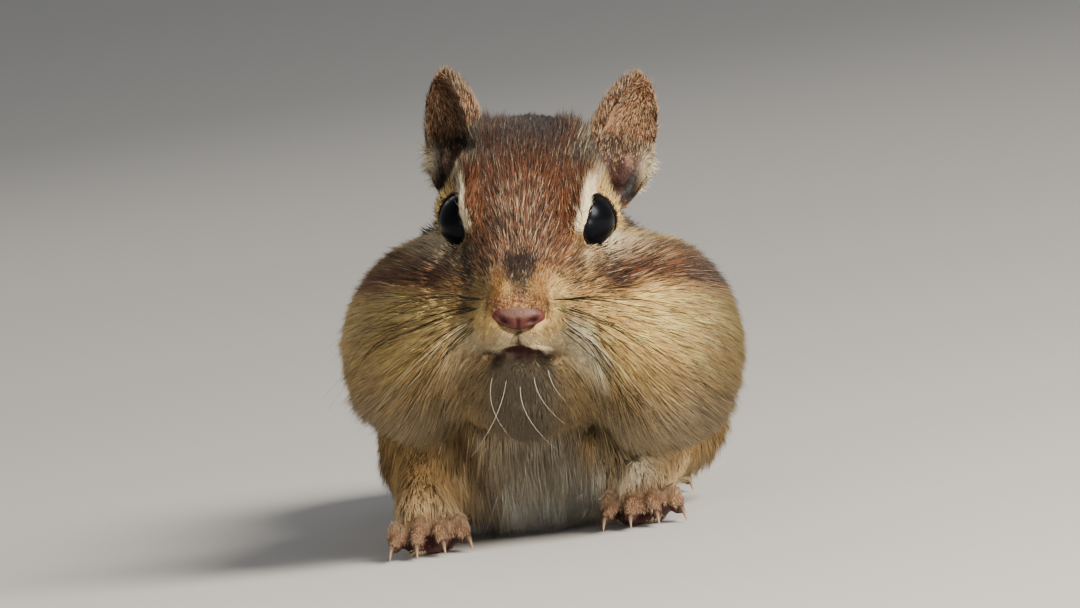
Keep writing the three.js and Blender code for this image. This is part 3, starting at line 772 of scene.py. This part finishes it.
# The lines that the markings of the face follow, in millimetres in the frame of the head, each with its half
# width and how far it fades. Mirrored ones lie on both sides alike, and flat ones are as seen from in front.
mirrored = np.abs(in_face * (1, 0, 0)) + in_face * (0, 1, 1)
flat = in_face * (1, 0, 1)
LINES = {
    "bridge": (in_face, [(0, -12, -3.5), (0, -10, 0)], 2.5, 3.5),
    "smudge": (in_face, [(-1, -12.7, -6), (1.6, -12.7, -6), (0.4, -15, -9.2), (-1, -12.7, -6)], 0.3, 1.8),
    "golden": (mirrored, [(3.0, -13.4, -6.8), (3.4, -14.3, -9.6)], 0.8, 1.4),
    "above_pad": (in_face, [(0.4, -15.6, -9.9), (0.4, -15.9, -10.3)], 0.5, 0.9),
    "pad_top": (in_face, [(-2.4, -15.4, -11.6), (2.8, -15.4, -11.6)], 1.0, 1.6),
    "nose_side_shade": (mirrored, [(4.0, -13.9, -9.2), (4.1, -14.0, -13.2)], 0.15, 0.7),
    "groove": (in_face, [(0, -15.6, -15.0), (0, -14.5, -17.0)], 0.1, 0.5),
    "parting": (flat, [(0.3, 0, -14.6), (0.4, 0, -17.9)], 0.12, 0.5),
    "lips": (mirrored, [(1.2, -14.5, -16.6), (4.4, -12.0, -16.0), (6.5, -8.5, -17.5)], 0.8, 2.2),
    "upper_lip": (flat, [(-1.2, 0, -16.9), (0.4, 0, -16.5), (2.2, 0, -16.9)], 0.6, 0.8),
    "hanging": (mirrored, [(2.0, -14.0, -16.9), (4.4, -12.6, -17.0), (6.0, -9.5, -17.2)], 0.5, 1.2),
    # painted shade under the lips at the corners of the mouth
    "corners": (mirrored * (1, 0, 1), [(3.0, 0, -18.9), (6.2, 0, -19.5)], 0.6, 1.0),
    "tassel": (mirrored, [(6.4, -8.8, -15.6), (8.4, -6.4, -18.5)], 1.0, 2.8),
    # painted shade under the chin
    "chin_shade": (mirrored * (1, 0, 1), [(0, 0, -25), (8, 0, -25)], 3.5, 5),
    "bib": (in_face, [(0, -9, -22), (0, -3, -34)], 2, 11),
    "outer_lid": (mirrored, [(9.6, -4.6, -5.0), (11.2, -3.9, -5.2)], 0.9, 1.3),
    "short": (mirrored, [(9.6, -4.6, -5.0), (13.5, -2.0, -4.6)], 1.5, 2.0),
    "over": (mirrored, [(9.4, 0, 5.4), (11.2, 1.4, 5.8)], 0.4, 1.2),
    "lit": (mirrored, [(12.4, 1.5, 3.5), (13.8, 3, 0)], 1.5, 2.5),
    "behind": (mirrored, [(12.8, 3.6, 1.6), (13.4, 7, 1.9), (12.6, 11, 2.2)], 0.5, 1.0),
    "edging": (mirrored, [(14.0, 4.0, -0.8), (14.4, 8, -0.4), (13.4, 11, -0.2)], 0.5, 1.0),
    "tear_and_shade": (mirrored, [(8.4, -5.6, -4.4), (7.3, -8.1, -7), (7.2, -8.8, -9.6), (7.8, -8.5, -12.5)], 0.3, 1.4),
    "shoulder": (mirrored, [(14.8, -0.6, -3.6), (20.5, 4, -4.4), (24, 6.5, -6.0), (24, 12, -7)], 2.0, 2.2),
    "band": (mirrored, [(11.5, -5.4, -7.8), (14, -4, -7.2), (18.5, -2.6, -7.8), (23, 2.5, -7.4)], 1.0, 3.2),
    "band_start": (mirrored, [(8.5, -7.4, -9.0), (12, -6.2, -8.6), (15, -4.6, -8.2)], 0.8, 2.0),
    "trail": (mirrored, [(23.5, 3.5, -7.0), (24.5, 8, -6.2), (21, 15, -4.5)], 0.9, 3.0),
}
on = {name: band(*line) for name, line in LINES.items()}


def side_light(right, left):
    """One value on the animal's right and another on its left, since the photographed face isn't even:
    painted light and shade, for a face lit from its left and shaded on its right.
    """
    return np.where(head_x < 0, right, left)


# Head: russet above, ticked with black and tan, golden cheeks darkened low down with painted shade, a grey
# throat darkened with painted shade and pale lips.
side_x = mirrored[:, 0]
head_weight = of_region("head")
cheek_weight = of_region("cheek_pouch")
lay(of_region("head", "ear", "cheek_pouch", "lower_jaw"), 1, GOLD)
lay(head_weight * rising(head_z, -10, 4) * falling(side_x, 9, 3), 1, TAN)
lay(head_weight * falling(side_x, 12.5, 4) * rising(head_z, -6, 6), 1, RUSSET)
lay(head_weight * rising(head_z, -11, 4), dark=0.5)
lay(cheek_weight, dark=0.18, pale=0.08)
lay(head_weight, pale=0.04)
lay(on["bridge"], 0.35, MAUVE, pale=0.09)
lay(head_weight * rising(head_z, 4, 8), 0.5)
temple = of_region("head", "ear", "neck") * rising(side_x, 5.5, 2.5) * rising(head_z, 5.5, 3)
lay(temple, 0.85, OLIVE, dark=0.15, pale=0.2)
lay(falling(head_z, -18, 10) * of_region("cheek_pouch", "neck"), 0.5, CREAM)
# Painted shade low on the cheeks and the neck, and under the chin.
lay(falling(head_z, -16, 9) * of_region("cheek_pouch", "neck"), 0.42)
lay(on["chin_shade"] * of_region("lower_jaw", "cheek_pouch"), 0.35)
bib = face_weight * on["bib"]
# The bib is a grey throat darkened with painted shade.
lay(bib, 1, SHADED_THROAT)
lay(on["lips"], 0.5, CREAM)

# Round the eyes: a pale ring, open behind, with a golden spot of painted light beside it, a dark line down
# from its front, darker on the animal's right as painted shade, one behind it above a pale one, and under it
# a rust band that runs out over the cheek, uneven between the sides as painted light and shade.
brow = falling(rim_gap, 2.3, 0.6) * rising(rim_turn, -12, 20) * falling(rim_turn, 118, 12)
brow = brow * falling(head_z, 7, 2.5)
lower_turn = rim_turn % 360
below = falling(rim_gap, 2.7, 0.8) * rising(lower_turn, 132, 14) * falling(lower_turn, 250, 20)
pale_ring = np.maximum(np.maximum(brow, below), np.maximum(0.85 * on["outer_lid"], 0.65 * on["over"]))
# A golden patch of painted light behind the eye.
lay(on["lit"], 0.9, GOLD, dark=-0.6)
lay(on["shoulder"], 0.9, BUFF, dark=0.12)
lay(pale_ring, 1, CREAM)
rust_band = np.maximum(on["band"], 0.6 * on["band_start"])
rust_band = rust_band * (1 - pale_ring) * of_region("cheek_pouch", "head")
# Fewer dark tufts in the rust band on the animal's right, as painted light; the trail below is stronger
# there, as painted shade.
lay(rust_band, 1, RUST, dark=side_light(0.1, 0.42))
lay(on["trail"] * (1 - rust_band) * side_light(0.5, 0.35), 0.7, RUST, dark=0.35)
lay(on["edging"], 0.4, WHITE)
# The line down from the eye is darker on the animal's right, as painted shade.
tear_and_shade = on["tear_and_shade"] * side_light(0.7, 0.4)
lay(np.maximum(tear_and_shade, 0.85 * on["behind"]), 1, UMBER)
lay(tear_and_shade, dark=0.2)

# Nose and mouth: a dark smudge on the bridge between golden sides, painted shade down the sides of the nose,
# a dark line of painted shade in the groove down to parted lips, dark maroon partly of their own colour and
# partly painted shade in the gap, painted shade under the corners of the lips, and pale tassels at the
# corners of the mouth, fainter on the animal's right as painted shade.
smudge = on["smudge"]
# Painted shade down the sides of the nose.
lay(on["nose_side_shade"], 0.8, UMBER)
lay(smudge, 0.85, UMBER, dark=0.4, pale=-0.7)
lay(on["golden"] * (1 - smudge), 0.9, AMBER, dark=-0.7)
lay(on["above_pad"], 0.6, MAUVE)
lay(pale_ring, dark=-1)
lay(on["lips"], dark=-1)
lay(on["pad_top"], 0.75, PINK_BROWN)
# Painted shade along the groove below the nose.
lay(on["groove"], 1, MAROON)
# Painted shade under the lips at the corners of the mouth.
mouth_corner_shade = on["corners"] * in_front
lay(mouth_corner_shade, 0.9, UMBER * 0.6)
mouth = np.maximum(opened, 0.95 * on["parting"] * in_front)
# The parted lips are dark maroon, partly their own colour and partly painted shade in the gap.
lay(mouth, 1, MAROON)
tassel = on["tassel"] * (1 - mouth_corner_shade)
# The pale tassels are fainter on the animal's right, as painted shade.
lay(tassel, side_light(0.35, 0.95), CREAM, dark=-0.9)

# Limbs: tawny, paler at the wrists and on their inner sides.
arms = of_region("upper_arm", "forearm")
lay(arms + of_region("thigh", "shank"), 0.9, TAWNY)
lay(arms * falling(y, -34, 10), 0.4, GOLD)
lay(arms, 0.25)
lay(arms * falling(z, 13, 8), 0.5, CREAM)
lay(arms * falling(from_middle, 16, 4) * falling(y, -50, 8), 1, WHITE)
lay(of_region("upper_arm", "thigh"), dark=0.12)
flank = trunk * falling(y, -42, 8) * falling(z, 34, 6) * (1 - chest)
lay(flank, 0.8, OLIVE, dark=-0.6)
soft_coat = chest + belly + bib + 0.8 * of_region("forearm") + flank + pale_ring + 0.5 * tassel
soft_coat = np.clip(soft_coat, 0, 1)

# Feet: short pale hair above, bare flesh on the toes and soles.
forefeet = of_region("forefoot")
hindfeet = of_region("hindfoot")
lay(forefeet + hindfeet, 1, TAN)
lay(forefeet, 0.4, CREAM)
lay(forefeet, 0.2)
pads = forefeet * falling(up, 0.35, 0.5) + hindfeet * falling(up, -0.1, 0.3)
toes = forefeet * falling(y, -72.5, 3) + hindfeet * falling(y, -20, 4)
skin_only = np.maximum(pads, 0.9 * toes)

# Tail: dark above, rusty below, frosted with pale tips.
tail = of_region("tail")
lay(tail * rising(up, -0.3, 1), 1, UMBER)
lay(tail * falling(up, 0, 1), 1, RUMP)
lay(tail, dark=0.3, pale=0.3)

# Ears: brown outside, tan fuzz inside above darker skin with a fold and a hole in it, both painted shade, and
# a painted highlight between them, a pale outer margin and a cream fringe low on the outer side. Each ear is
# marked in a frame of its own, X across it and Z up it.
EAR_ROOT = np.array((10.2, 12.5, 1.2))
EAR_TALL = 21
EAR_WIDE = 12.4
EAR_NARROWING = (1.1, 0.34)  # at the root, and by how much to the tip
EAR_SPLAY = {"left": 17, "right": 12}
EAR_FACING = 47
EAR_NOD = 5
FRINGE_WAY = np.array((1.0, 0.0, -0.3))
ear = of_region("ear")
ear_inner, ear_margin, ear_fringe, fold_shade, ear_hole_shade, ear_highlight, ear_height = np.zeros((7, count))
for side, mirror in SIDES.items():
    turned = Matrix.Rotation(math.radians(EAR_SPLAY[side]), 3, "Y")
    turned = turned @ Matrix.Rotation(math.radians(EAR_FACING), 3, "Z")
    turned = turned @ Matrix.Rotation(math.radians(-EAR_NOD), 3, "X")
    axes = np.array(turned)
    facing = ((normals @ head_axes.T) * mirror) @ axes
    own = ear * (head_x * mirror[0] > 0)
    wide, _, high = ((in_face * mirror - EAR_ROOT) @ axes).T
    narrowing = EAR_NARROWING[0] - EAR_NARROWING[1] * (np.clip(high, 0, None) / EAR_TALL) ** 2
    edge = np.hypot(wide / (EAR_WIDE / 2 * narrowing), (high - EAR_TALL * 0.46) / (EAR_TALL * 0.54))
    ear_inner = np.maximum(ear_inner, own * falling(edge, 0.9, 0.1) * falling(facing[:, 1], 0, 0.5))
    outer = rising(wide, -2, 3)
    ear_margin = np.maximum(ear_margin, own * rising(edge, 0.94, 0.05) * falling(edge, 1.04, 0.06) * outer)
    fringe = own * rising(wide, 3.4, 1.2) * falling(high, 10, 2)
    ear_fringe = np.maximum(ear_fringe, fringe)
    streaming = ((FRINGE_WAY @ axes.T) * mirror) @ head_axes
    lie = unit(lie * (1 - fringe)[:, None] + streaming * fringe[:, None])
    fold_shade = np.maximum(fold_shade, own * falling(np.abs(high - 8.9), 1.5, 0.9))
    ear_hole_shade = np.maximum(ear_hole_shade, own * falling(np.hypot(wide - 3.0, (high - 3.4) / 1.5), 2.2, 1.4))
    ear_highlight = np.maximum(ear_highlight, own * falling(np.hypot(wide - 0.9, high - 7.1), 1.3, 0.8))
    ear_height = np.where(own > 0, high, ear_height)
lay(ear * (1 - ear_inner), 1, EAR_BACK, pale=0.08)
lay(ear_inner, 1, EAR_FUZZ)
lay(ear_inner * rising(ear_height, 14, 5), 1, RUST)
lay(ear_inner * falling(ear_height, 8.5, 1), 1, EAR_SKIN)
# Painted shade in the fold and the hole, and a painted highlight between them.
lay(ear_inner * fold_shade, 0.85, UMBER)
lay(ear_inner * ear_highlight, 0.8, MAUVE)
lay(ear_inner * ear_hole_shade, 0.95, BLACK)
lay(ear_margin, 0.8, CREAM)
lay(ear_fringe, 0.9, CREAM)
lay(ear * (1 - ear_fringe) * (1 - ear_margin), dark=0.2)

# Where the hair is shorter or longer than its part of the body has it: cropped at the outer corners of the
# eyes, on the upper lip and round the lids, level where it hangs over the lip, long under the chest, at the
# corners of the mouth, beside the eyes and along the fringe of the ears. On the chest and the upper arms it
# is fine and close.
HANGING_LONG = 2.0
under_chest = of_region("torso") * falling(y, -50, 8) * falling(z, 18, 10)
velvet = falling(rim_gap, 2.5, 2.5)
length = length * (1 - 0.5 * on["short"])
length = length * (1 - 0.2 * on["upper_lip"] * in_front)
length = length + (HANGING_LONG - length) * on["hanging"]
for where, longer in (
    (under_chest, 0.2),
    (tassel, 0.5),
    (on["lit"], 0.4),
    (velvet, -0.6),
    (ear_fringe, 1.9),
):
    length = length * (1 + longer * where)
rise = (rise + 2 * on["hanging"] + 10 * under_chest) * (1 - 0.3 * toes)
forward = falling(y, -40, 20)
fine = forward * of_region("torso")
width = width * (1 - 0.4 * fine)
density = density * (1 + 0.3 * velvet) * (1 + 1.1 * toes)
density = density * (1 + 3.6 * fine + 1.6 * forward * of_region("upper_arm"))

# Bare places: the eyes, the sockets, the pad of the nose, the mouth, under the feet and where the body meets
# the floor. The toes keep some hair on top.
NOSE_AT = np.array((0.3, -15.2, -13.2))
NOSE_BARE = (4.0, 2.6, 2.0)
bare = np.maximum.reduce([
    mouth,
    falling(rim_gap, 0.35, 0.1),
    (forefeet + hindfeet) * falling(up, -0.2, 1),
    falling(z, 1.2, 0.5),
    pads,
    toes * (1 - 0.9 * rising(up, 0.15, 0.35)),
    socket,
    np.linalg.norm((in_face - NOSE_AT) / NOSE_BARE, axis=1) < 1,
])
density = density * (1 - bare)

# A faint mottle breaks up every colour.
MOTTLE = 0.07
rng = np.random.default_rng(7)
mottle = spread(rng.normal(0, 1, count), 10)
tint = tint * (1 + MOTTLE * mottle[:, None] / mottle.std())


# The skin carries the colours of its coat, darkened with painted shade as under the hair, and bare flesh
# where there is no hair.
def store_colour(mesh, colours):
    layer = mesh.color_attributes.new("coat_colour", "FLOAT_COLOR", "POINT")
    opaque = np.column_stack([colours, np.ones(len(colours))])
    layer.data.foreach_set("color", opaque.astype(np.float32).ravel())


# The skin under the hair is darkened with painted shade.
SKIN_SHADE = (0.5, 0.35)  # the skin's brightness under the hair, and how much more under pale soft hair
skin_tint = painted(tint * (SKIN_SHADE[0] + SKIN_SHADE[1] * soft_coat)[:, None], mouth, tint)
skin_tint = painted(skin_tint, skin_only, FLESH)
skin_tint = painted(skin_tint, 0.3 * toes * rising(up, 0.4 / 1.5, 1 / 1.5), TAN)
skin_tint = painted(skin_tint, falling(rim_gap, 0.5, 0.3), BLACK * 0.3)
store_colour(skin.data, skin_tint)
smooth(skin)
bpy.context.view_layer.objects.active = skin
skin.select_set(True)
bpy.ops.object.mode_set(mode="EDIT")
bpy.ops.mesh.select_all(action="SELECT")
bpy.ops.uv.smart_project(angle_limit=1.15, island_margin=0.002)
bpy.ops.object.mode_set(mode="OBJECT")
skin.data.uv_layers.active.name = "OFBake"
hide = grained_material("skin", roughness=0.6, gloss=0.25, scale=2200, relief=0.6)
finish_piece(skin, hide, "body_fur", *flesh)

# The coat: tufts of hair of three sides that taper to a point, each with its root sunk in the skin. They lie
# along the body, gather into small locks, and carry the markings of the skin under them. The long hair of
# the tail is bent, the rest is straight. Each tuft has a spot of its own on the unwrapped skin.
ROOT_SUNK = 0.12
STRAY = 0.14  # how far the tufts stray from the lie of the coat
LONG_SPREAD = (0.55, 1.25)
WIDE_SPREAD = (0.7, 1.3)
RISE_SPREAD = (0.4, 1.6)
LAID = 0.35  # the share of its rise that a tuft keeps in its outer half
CLUMP = 14
PULL = 0.45
SHADES = (0.55, 1.4)
LOCK_SHADES = (0.75, 1.2)
EVEN_SHADE = 1.05
EVENED = 0.6  # how far pale soft hair comes to the even shade
# The roots and bends of the tufts are darkened with painted shade, as deep in the coat.
ROOT_SHADE = 0.45
SOFT_ROOT_SHADE = 0.3  # how much lighter the roots of pale soft hair are
BEND_SHADE = 0.85
TIP_TONE = 1.2
DARK = 0.2
FROST = 0.6
UV_PATCH = 0.0015
STRAIGHT = [(0, 2, 1), (0, 1, 3), (1, 2, 3), (2, 0, 3)]
BENT = [(0, 2, 1), (0, 1, 4), (0, 4, 3), (1, 2, 5), (1, 5, 4), (2, 0, 3), (2, 3, 5)]
BENT += [(3, 4, 6), (4, 5, 6), (5, 3, 6)]

skin.data.calc_loop_triangles()
triangles = numbers_of(skin.data.loop_triangles, "vertices", 3, np.int32)
triangle_loops = numbers_of(skin.data.loop_triangles, "loops", 3, np.int32)
unwrap = numbers_of(skin.data.uv_layers["OFBake"].data, "uv", 2)[triangle_loops]
sides = places[triangles[:, 1:]] - places[triangles[:, :1]]
area = np.linalg.norm(np.cross(sides[:, 0], sides[:, 1]), axis=1) / 2 / MM ** 2
wanted = area * density[triangles].mean(1)
coat = grained_material("coat", roughness=0.58, gloss=0.2, scale=900, relief=0.1)
coat.node_tree.nodes["Principled BSDF"].inputs["Sheen Weight"].default_value = 0.04


def tuft_mesh(name, points, tones, spots, faces):
    """One mesh of many tufts, each with the same faces between its corners."""
    tufts, corner_count = points.shape[:2]
    indices = (np.arange(tufts)[:, None, None] * corner_count + np.array(faces)).reshape(-1)
    mesh = bpy.data.meshes.new(name)
    mesh.vertices.add(tufts * corner_count)
    mesh.vertices.foreach_set("co", points.ravel())
    mesh.loops.add(len(indices))
    mesh.loops.foreach_set("vertex_index", indices)
    mesh.polygons.add(len(indices) // 3)
    mesh.polygons.foreach_set("loop_start", np.arange(0, len(indices), 3))
    mesh.update(calc_edges=True)
    store_colour(mesh, tones.reshape(-1, 3))
    layer = mesh.uv_layers.new(name="OFBake")
    layer.data.foreach_set("uv", np.clip(spots.reshape(-1, 2)[indices], 0, 1).ravel())
    return mesh


def coat_piece(name, chosen, bent, slot):
    running = np.cumsum(wanted[chosen])
    tufts = int(running[-1])
    picked = np.searchsorted(running, np.arange(tufts) + rng.random(tufts))
    hosts = chosen[np.minimum(picked, len(chosen) - 1)]
    shares = rng.random((tufts, 2))
    over = shares.sum(1) > 1
    shares[over] = 1 - shares[over]
    shares = np.column_stack([1 - shares.sum(1), shares])

    def at_roots(values):
        return np.einsum("tc,tc...->t...", shares, values[triangles[hosts]])

    def varied(values, spread_of):
        return (at_roots(values) * rng.uniform(*spread_of, tufts))[:, None]

    root = at_roots(places)
    normal = unit(at_roots(normals))
    along = unit(at_roots(lie) + rng.normal(0, STRAY, (tufts, 3)))
    along = unit(along - normal * (along * normal).sum(1, keepdims=True))
    long = varied(length, LONG_SPREAD) * MM
    wide = varied(width, WIDE_SPREAD) * MM / 2
    angle = np.radians(varied(rise, RISE_SPREAD))
    way = along * np.cos(angle) + normal * np.sin(angle)
    laid = along * np.cos(angle * LAID) + normal * np.sin(angle * LAID)
    middle = root + way * long * 0.5
    tip = middle + laid * long * 0.5

    leader = np.arange(0, tufts, CLUMP)
    tree = KDTree(len(leader))
    for index, place in enumerate(root[leader]):
        tree.insert(place, index)
    tree.balance()
    clump = np.array([tree.find(place)[1] for place in root])
    pull = PULL * np.clip(long / (4 * MM), 0.2, 1)
    tip = tip + (tip[leader][clump] - tip) * pull
    middle = middle + (middle[leader][clump] - middle) * pull * 0.4

    across = unit(np.cross(normal, way))
    above = np.cross(way, across)
    base = root - normal * ROOT_SUNK * MM
    rings = [base - across * wide, base + across * wide, base + above * wide * 0.7]
    if bent:
        rings += [middle - across * wide * 0.7, middle + across * wide * 0.7, middle + above * wide * 0.5]
    points = np.stack([*rings, tip], 1)
    points[..., 2] = np.maximum(points[..., 2], 0.1 * MM)

    hair = at_roots(tint)
    chance = rng.random(tufts)
    dark = chance < at_roots(dark_share)
    pale = chance > 1 - at_roots(pale_share)
    soft = at_roots(soft_coat)
    shade = rng.uniform(*SHADES, tufts) * rng.uniform(*LOCK_SHADES, len(leader))[clump]
    shade = shade + (EVEN_SHADE - shade) * EVENED * soft
    hair = hair * shade[:, None]
    hair[dark] = hair[dark] * DARK
    hair[pale] = hair[pale] * 0.5 + CREAM * 0.5
    tones = [hair * (ROOT_SHADE + SOFT_ROOT_SHADE * soft)[:, None]] * 3
    if bent:
        tones += [hair * BEND_SHADE] * 3
    frosted = FROST * at_roots(tail)[:, None]
    tones = np.stack([*tones, np.minimum(hair * TIP_TONE, 0.9) * (1 - frosted) + CREAM * frosted], 1)

    turn = np.radians(np.array([210, 330, 90, 30, 150, 270]))
    spot = np.vstack([np.column_stack([np.cos(turn), np.sin(turn)]) * UV_PATCH, (0, 0)])
    spots = np.einsum("tc,tcu->tu", shares, unwrap[hosts])[:, None] + (spot if bent else spot[[0, 1, 2, 6]])
    mesh = tuft_mesh(name, points, tones, spots, BENT if bent else STRAIGHT)
    finish_piece(in_scene(name, mesh), coat, slot)


# Each piece of the coat: its slot, where it starts and ends along the body in millimetres, and the solids
# that it covers there.
FRONT = -120
REAR = 120
COAT_PIECES = {
    "coat_muzzle": ("head_fur", FRONT, -84, "head"),
    "coat_crown": ("head_fur", -84, REAR, "head"),
    "coat_jaw": ("head_fur", FRONT, REAR, "lower_jaw"),
    "coat_cheek_left": ("head_fur", FRONT, -80, "cheek_pouch_left"),
    "coat_cheek_right": ("head_fur", FRONT, -80, "cheek_pouch_right"),
    "coat_cheek_left_rear": ("head_fur", -80, REAR, "cheek_pouch_left"),
    "coat_cheek_right_rear": ("head_fur", -80, REAR, "cheek_pouch_right"),
    "coat_ears": ("head_fur", FRONT, REAR, "ear"),
    "coat_neck": ("body_fur", FRONT, REAR, "neck"),
    "coat_chest": ("body_fur", FRONT, -45, "torso"),
    "coat_back": ("body_fur", -45, REAR, "torso"),
    "coat_arms": ("body_fur", FRONT, REAR, "upper_arm", "forearm"),
    "coat_legs": ("body_fur", FRONT, REAR, "thigh", "shank"),
    "coat_feet": ("body_fur", FRONT, REAR, "forefoot", "hindfoot"),
    "coat_tail": ("tail_fur", FRONT, REAR, "tail"),
}
triangle_owner = owner[triangles[:, 0]]
triangle_y = y[triangles[:, 0]]
for name, (slot, start, end, *words) in COAT_PIECES.items():
    owned = np.array([node.startswith(tuple(words)) for node in flesh])[triangle_owner]
    chosen = np.flatnonzero(owned & (triangle_y >= start) & (triangle_y < end))
    coat_piece(name, chosen, slot == "tail_fur", slot)

# The nose: a broad leathery pad, narrower below, with a comma-shaped nostril at each side and a cleft between
# them, both darkened with painted shade, and a painted highlight along its top.
NOSE_HALF = (3.8, 1.9, 1.85)
NOSTRIL_OUT = 2.1
NOSTRIL_DROP = 0.45
NOSTRIL_DEEP = 0.9
CLEFT_DEEP = 0.5
LEATHER = linear(84, 42, 38)
LEATHER_HIGHLIGHT = linear(98, 70, 60)
NOSTRIL_SHADE = linear(48, 20, 20)
CLEFT_SHADE = linear(60, 20, 20)
shape = bmesh.new()
bmesh.ops.create_icosphere(shape, subdivisions=5, radius=1)
pad = new_piece("nose_pad", shape)
px, py, pz = (numbers_of(pad.data.vertices, "co", 3) * NOSE_HALF).T
px = px * (1 - 0.3 * falling(pz, 0, NOSE_HALF[2]))
outward = np.abs(px) - NOSTRIL_OUT
nostril = np.exp(-(outward / 0.75) ** 2 - ((pz + NOSTRIL_DROP - 0.35 * outward) / 0.36) ** 2)
cleft = np.exp(-(px / 0.25) ** 2) * falling(pz, 0.2, 0.8)
py = py + np.where(py < 0, NOSTRIL_DEEP * nostril + CLEFT_DEEP * cleft, 0)
pad.data.vertices.foreach_set("co", from_head(NOSE_AT + np.stack([px, py, pz], 1)).ravel())
pad.data.update()
smooth(pad)
leather = np.tile(LEATHER, (len(px), 1))
# A painted highlight along the top, and painted shade in the nostrils and the cleft.
highlight_band = rising(pz - 0.11 * px ** 2, -0.35, 0.5) * falling(np.abs(px), 3.2, 1.2)
for mask, colour in ((highlight_band, LEATHER_HIGHLIGHT), (nostril, NOSTRIL_SHADE), (cleft * 0.8, CLEFT_SHADE)):
    leather = painted(leather, mask, colour)
store_colour(pad.data, leather)
nose_leather = grained_material("nose_leather", roughness=0.5, gloss=0.3, scale=2600, relief=0.6)
finish_piece(pad, nose_leather, "nose_skin", "nose")

# The claws: curved horn, dark at the root and pale at the tip, one at the end of each toe.
CLAW_LONG = 0.74  # as a share of the solid claw
CLAW_THICK = 0.5
CLAW_RISE = 0.9
TIP_HEIGHT = 0.25
HORN_ROOT = linear(48, 32, 27)
HORN_TIP = linear(150, 122, 98)
horn = grained_material("claw_horn", roughness=0.38, gloss=0.45, scale=1800, relief=0.2)


def along_claw(point, nodes):
    """How far a point lies along the nearest of some claws, as a share of that claw."""
    found = []
    for node in nodes:
        root, ahead_of, long = claw_lines[node]
        along = (point - root) @ ahead_of
        found.append((np.linalg.norm(point - root - ahead_of * along), along / long))
    return min(found)[1]


for foot in sorted({node.split("_claw")[0] for node in claws}):
    own = [node for node in claws if node.startswith(foot)]
    paths = []
    for node in own:
        root, ahead_of, long = claw_lines[node]
        paths.append([])
        for step in np.linspace(0, 1, 12):
            place = root + ahead_of * long * CLAW_LONG * (step - 0.16 * step ** 3)
            height = TIP_HEIGHT + (root[2] / MM - 0.1) * (1 - step ** 2.2)
            height += CLAW_RISE * math.sin(math.pi * step) * (1 - step)
            thick = CLAW_THICK * (1 - 0.9 * step ** 1.3)
            paths[-1].append(((place[0], place[1], height * MM), thick * MM))
    horns = in_scene("claws_" + foot, bent_rods("claws_" + foot, paths, 10))
    smooth(horns)
    share = np.array([along_claw(point, own) for point in numbers_of(horns.data.vertices, "co", 3)])
    tones = painted(np.tile(HORN_ROOT, (len(share), 1)), rising(share, 0, 1 / 1.2), HORN_TIP)
    store_colour(horns.data, tones)
    finish_piece(horns, horn, "claw_horn", *own)

# The whiskers: fine bristles that taper to nothing, dark ones over each cheek with a few pale ones among
# them, and pale ones on the chin. Those of the cheeks grow in rows, sag, and are kept clear of the skin.
WHISKERS = 18
WHISKER_ROOT = np.array((4.6, -12.4, -11.0))
NEXT_COLUMN = np.array((0.5, 0.9, 0))
NEXT_ROW = np.array((0.3, 0.3, -1.3))
ROWS = 4
PALE_ONES = (6, 14)
WHISKER_LONG = (17, 26)
WHISKER_SAG = (0.3, 0.65)
WHISKER_THICK = {"dark": 0.075, "pale": 0.035}
WHISKER_CLEAR = 2.3
WHISKER_COLOUR = {"dark": (0.006, 0.004, 0.003, 1), "pale": (0.6, 0.54, 0.44, 1)}
CHIN_BRISTLES = 5
BRISTLE_LONG = (4, 13)
paths = {"dark": [], "pale": []}
skin_tree = BVHTree.FromPolygons(places.tolist(), triangles.tolist())


def kept_off(place, clear):
    """A place in metres, moved out where needed to stand clear of the skin."""
    nearest, out_of, _, _ = skin_tree.find_nearest(place)
    if (Vector(place) - nearest).dot(out_of) < clear:
        return np.array(nearest + out_of * clear)
    return place


for side, mirror in SIDES.items():
    for index in range(WHISKERS):
        column, row = divmod(index, ROWS)
        shade = "pale" if index in PALE_ONES else "dark"
        root = WHISKER_ROOT + NEXT_COLUMN * column + NEXT_ROW * row
        heading = unit(np.array((1.0, -0.12 + 0.05 * row, 0.12 - 0.26 * row)) + rng.normal(0, 0.1, 3))
        reach = rng.uniform(*WHISKER_LONG) * (1 - 0.05 * row)
        sag = rng.uniform(*WHISKER_SAG)
        path = []
        for step in np.linspace(0, 1, 18):
            bend = np.array((0, 0.5 * reach * step ** 2, -sag * reach * step ** 2))
            place = from_head((root + heading * reach * step + bend) * mirror)
            place = kept_off(place, WHISKER_CLEAR * min(step * 4, 1) * MM)
            path.append((place, WHISKER_THICK[shade] * (1 - 0.9 * step) * MM))
        paths[shade].append(path)
for index in range(CHIN_BRISTLES):
    root = np.array((-4 + 8 * index / (CHIN_BRISTLES - 1), -9.6, -20.6 - rng.uniform(0, 3)))
    slant = rng.uniform(-0.6, 0.6)
    reach = rng.uniform(*BRISTLE_LONG)
    path = []
    for step in np.linspace(0, 1, 12):
        aside = (root[0] * 0.06 + slant * step) * reach * step
        drop = (aside, -1.2 * math.sin(step * 2), -reach * step)
        path.append((from_head(root + drop), WHISKER_THICK["pale"] * (1 - 0.85 * step) * MM))
    paths["pale"].append(path)
for shade, colour in WHISKER_COLOUR.items():
    bristles = in_scene("whiskers_" + shade, bent_rods("whiskers_" + shade, paths[shade], 6))
    smooth(bristles)
    name = "whisker_" + shade
    bristle = grained_material(name, roughness=0.5, gloss=0.15, scale=800, relief=0, colour=colour)
    finish_piece(bristles, bristle, "head_fur")
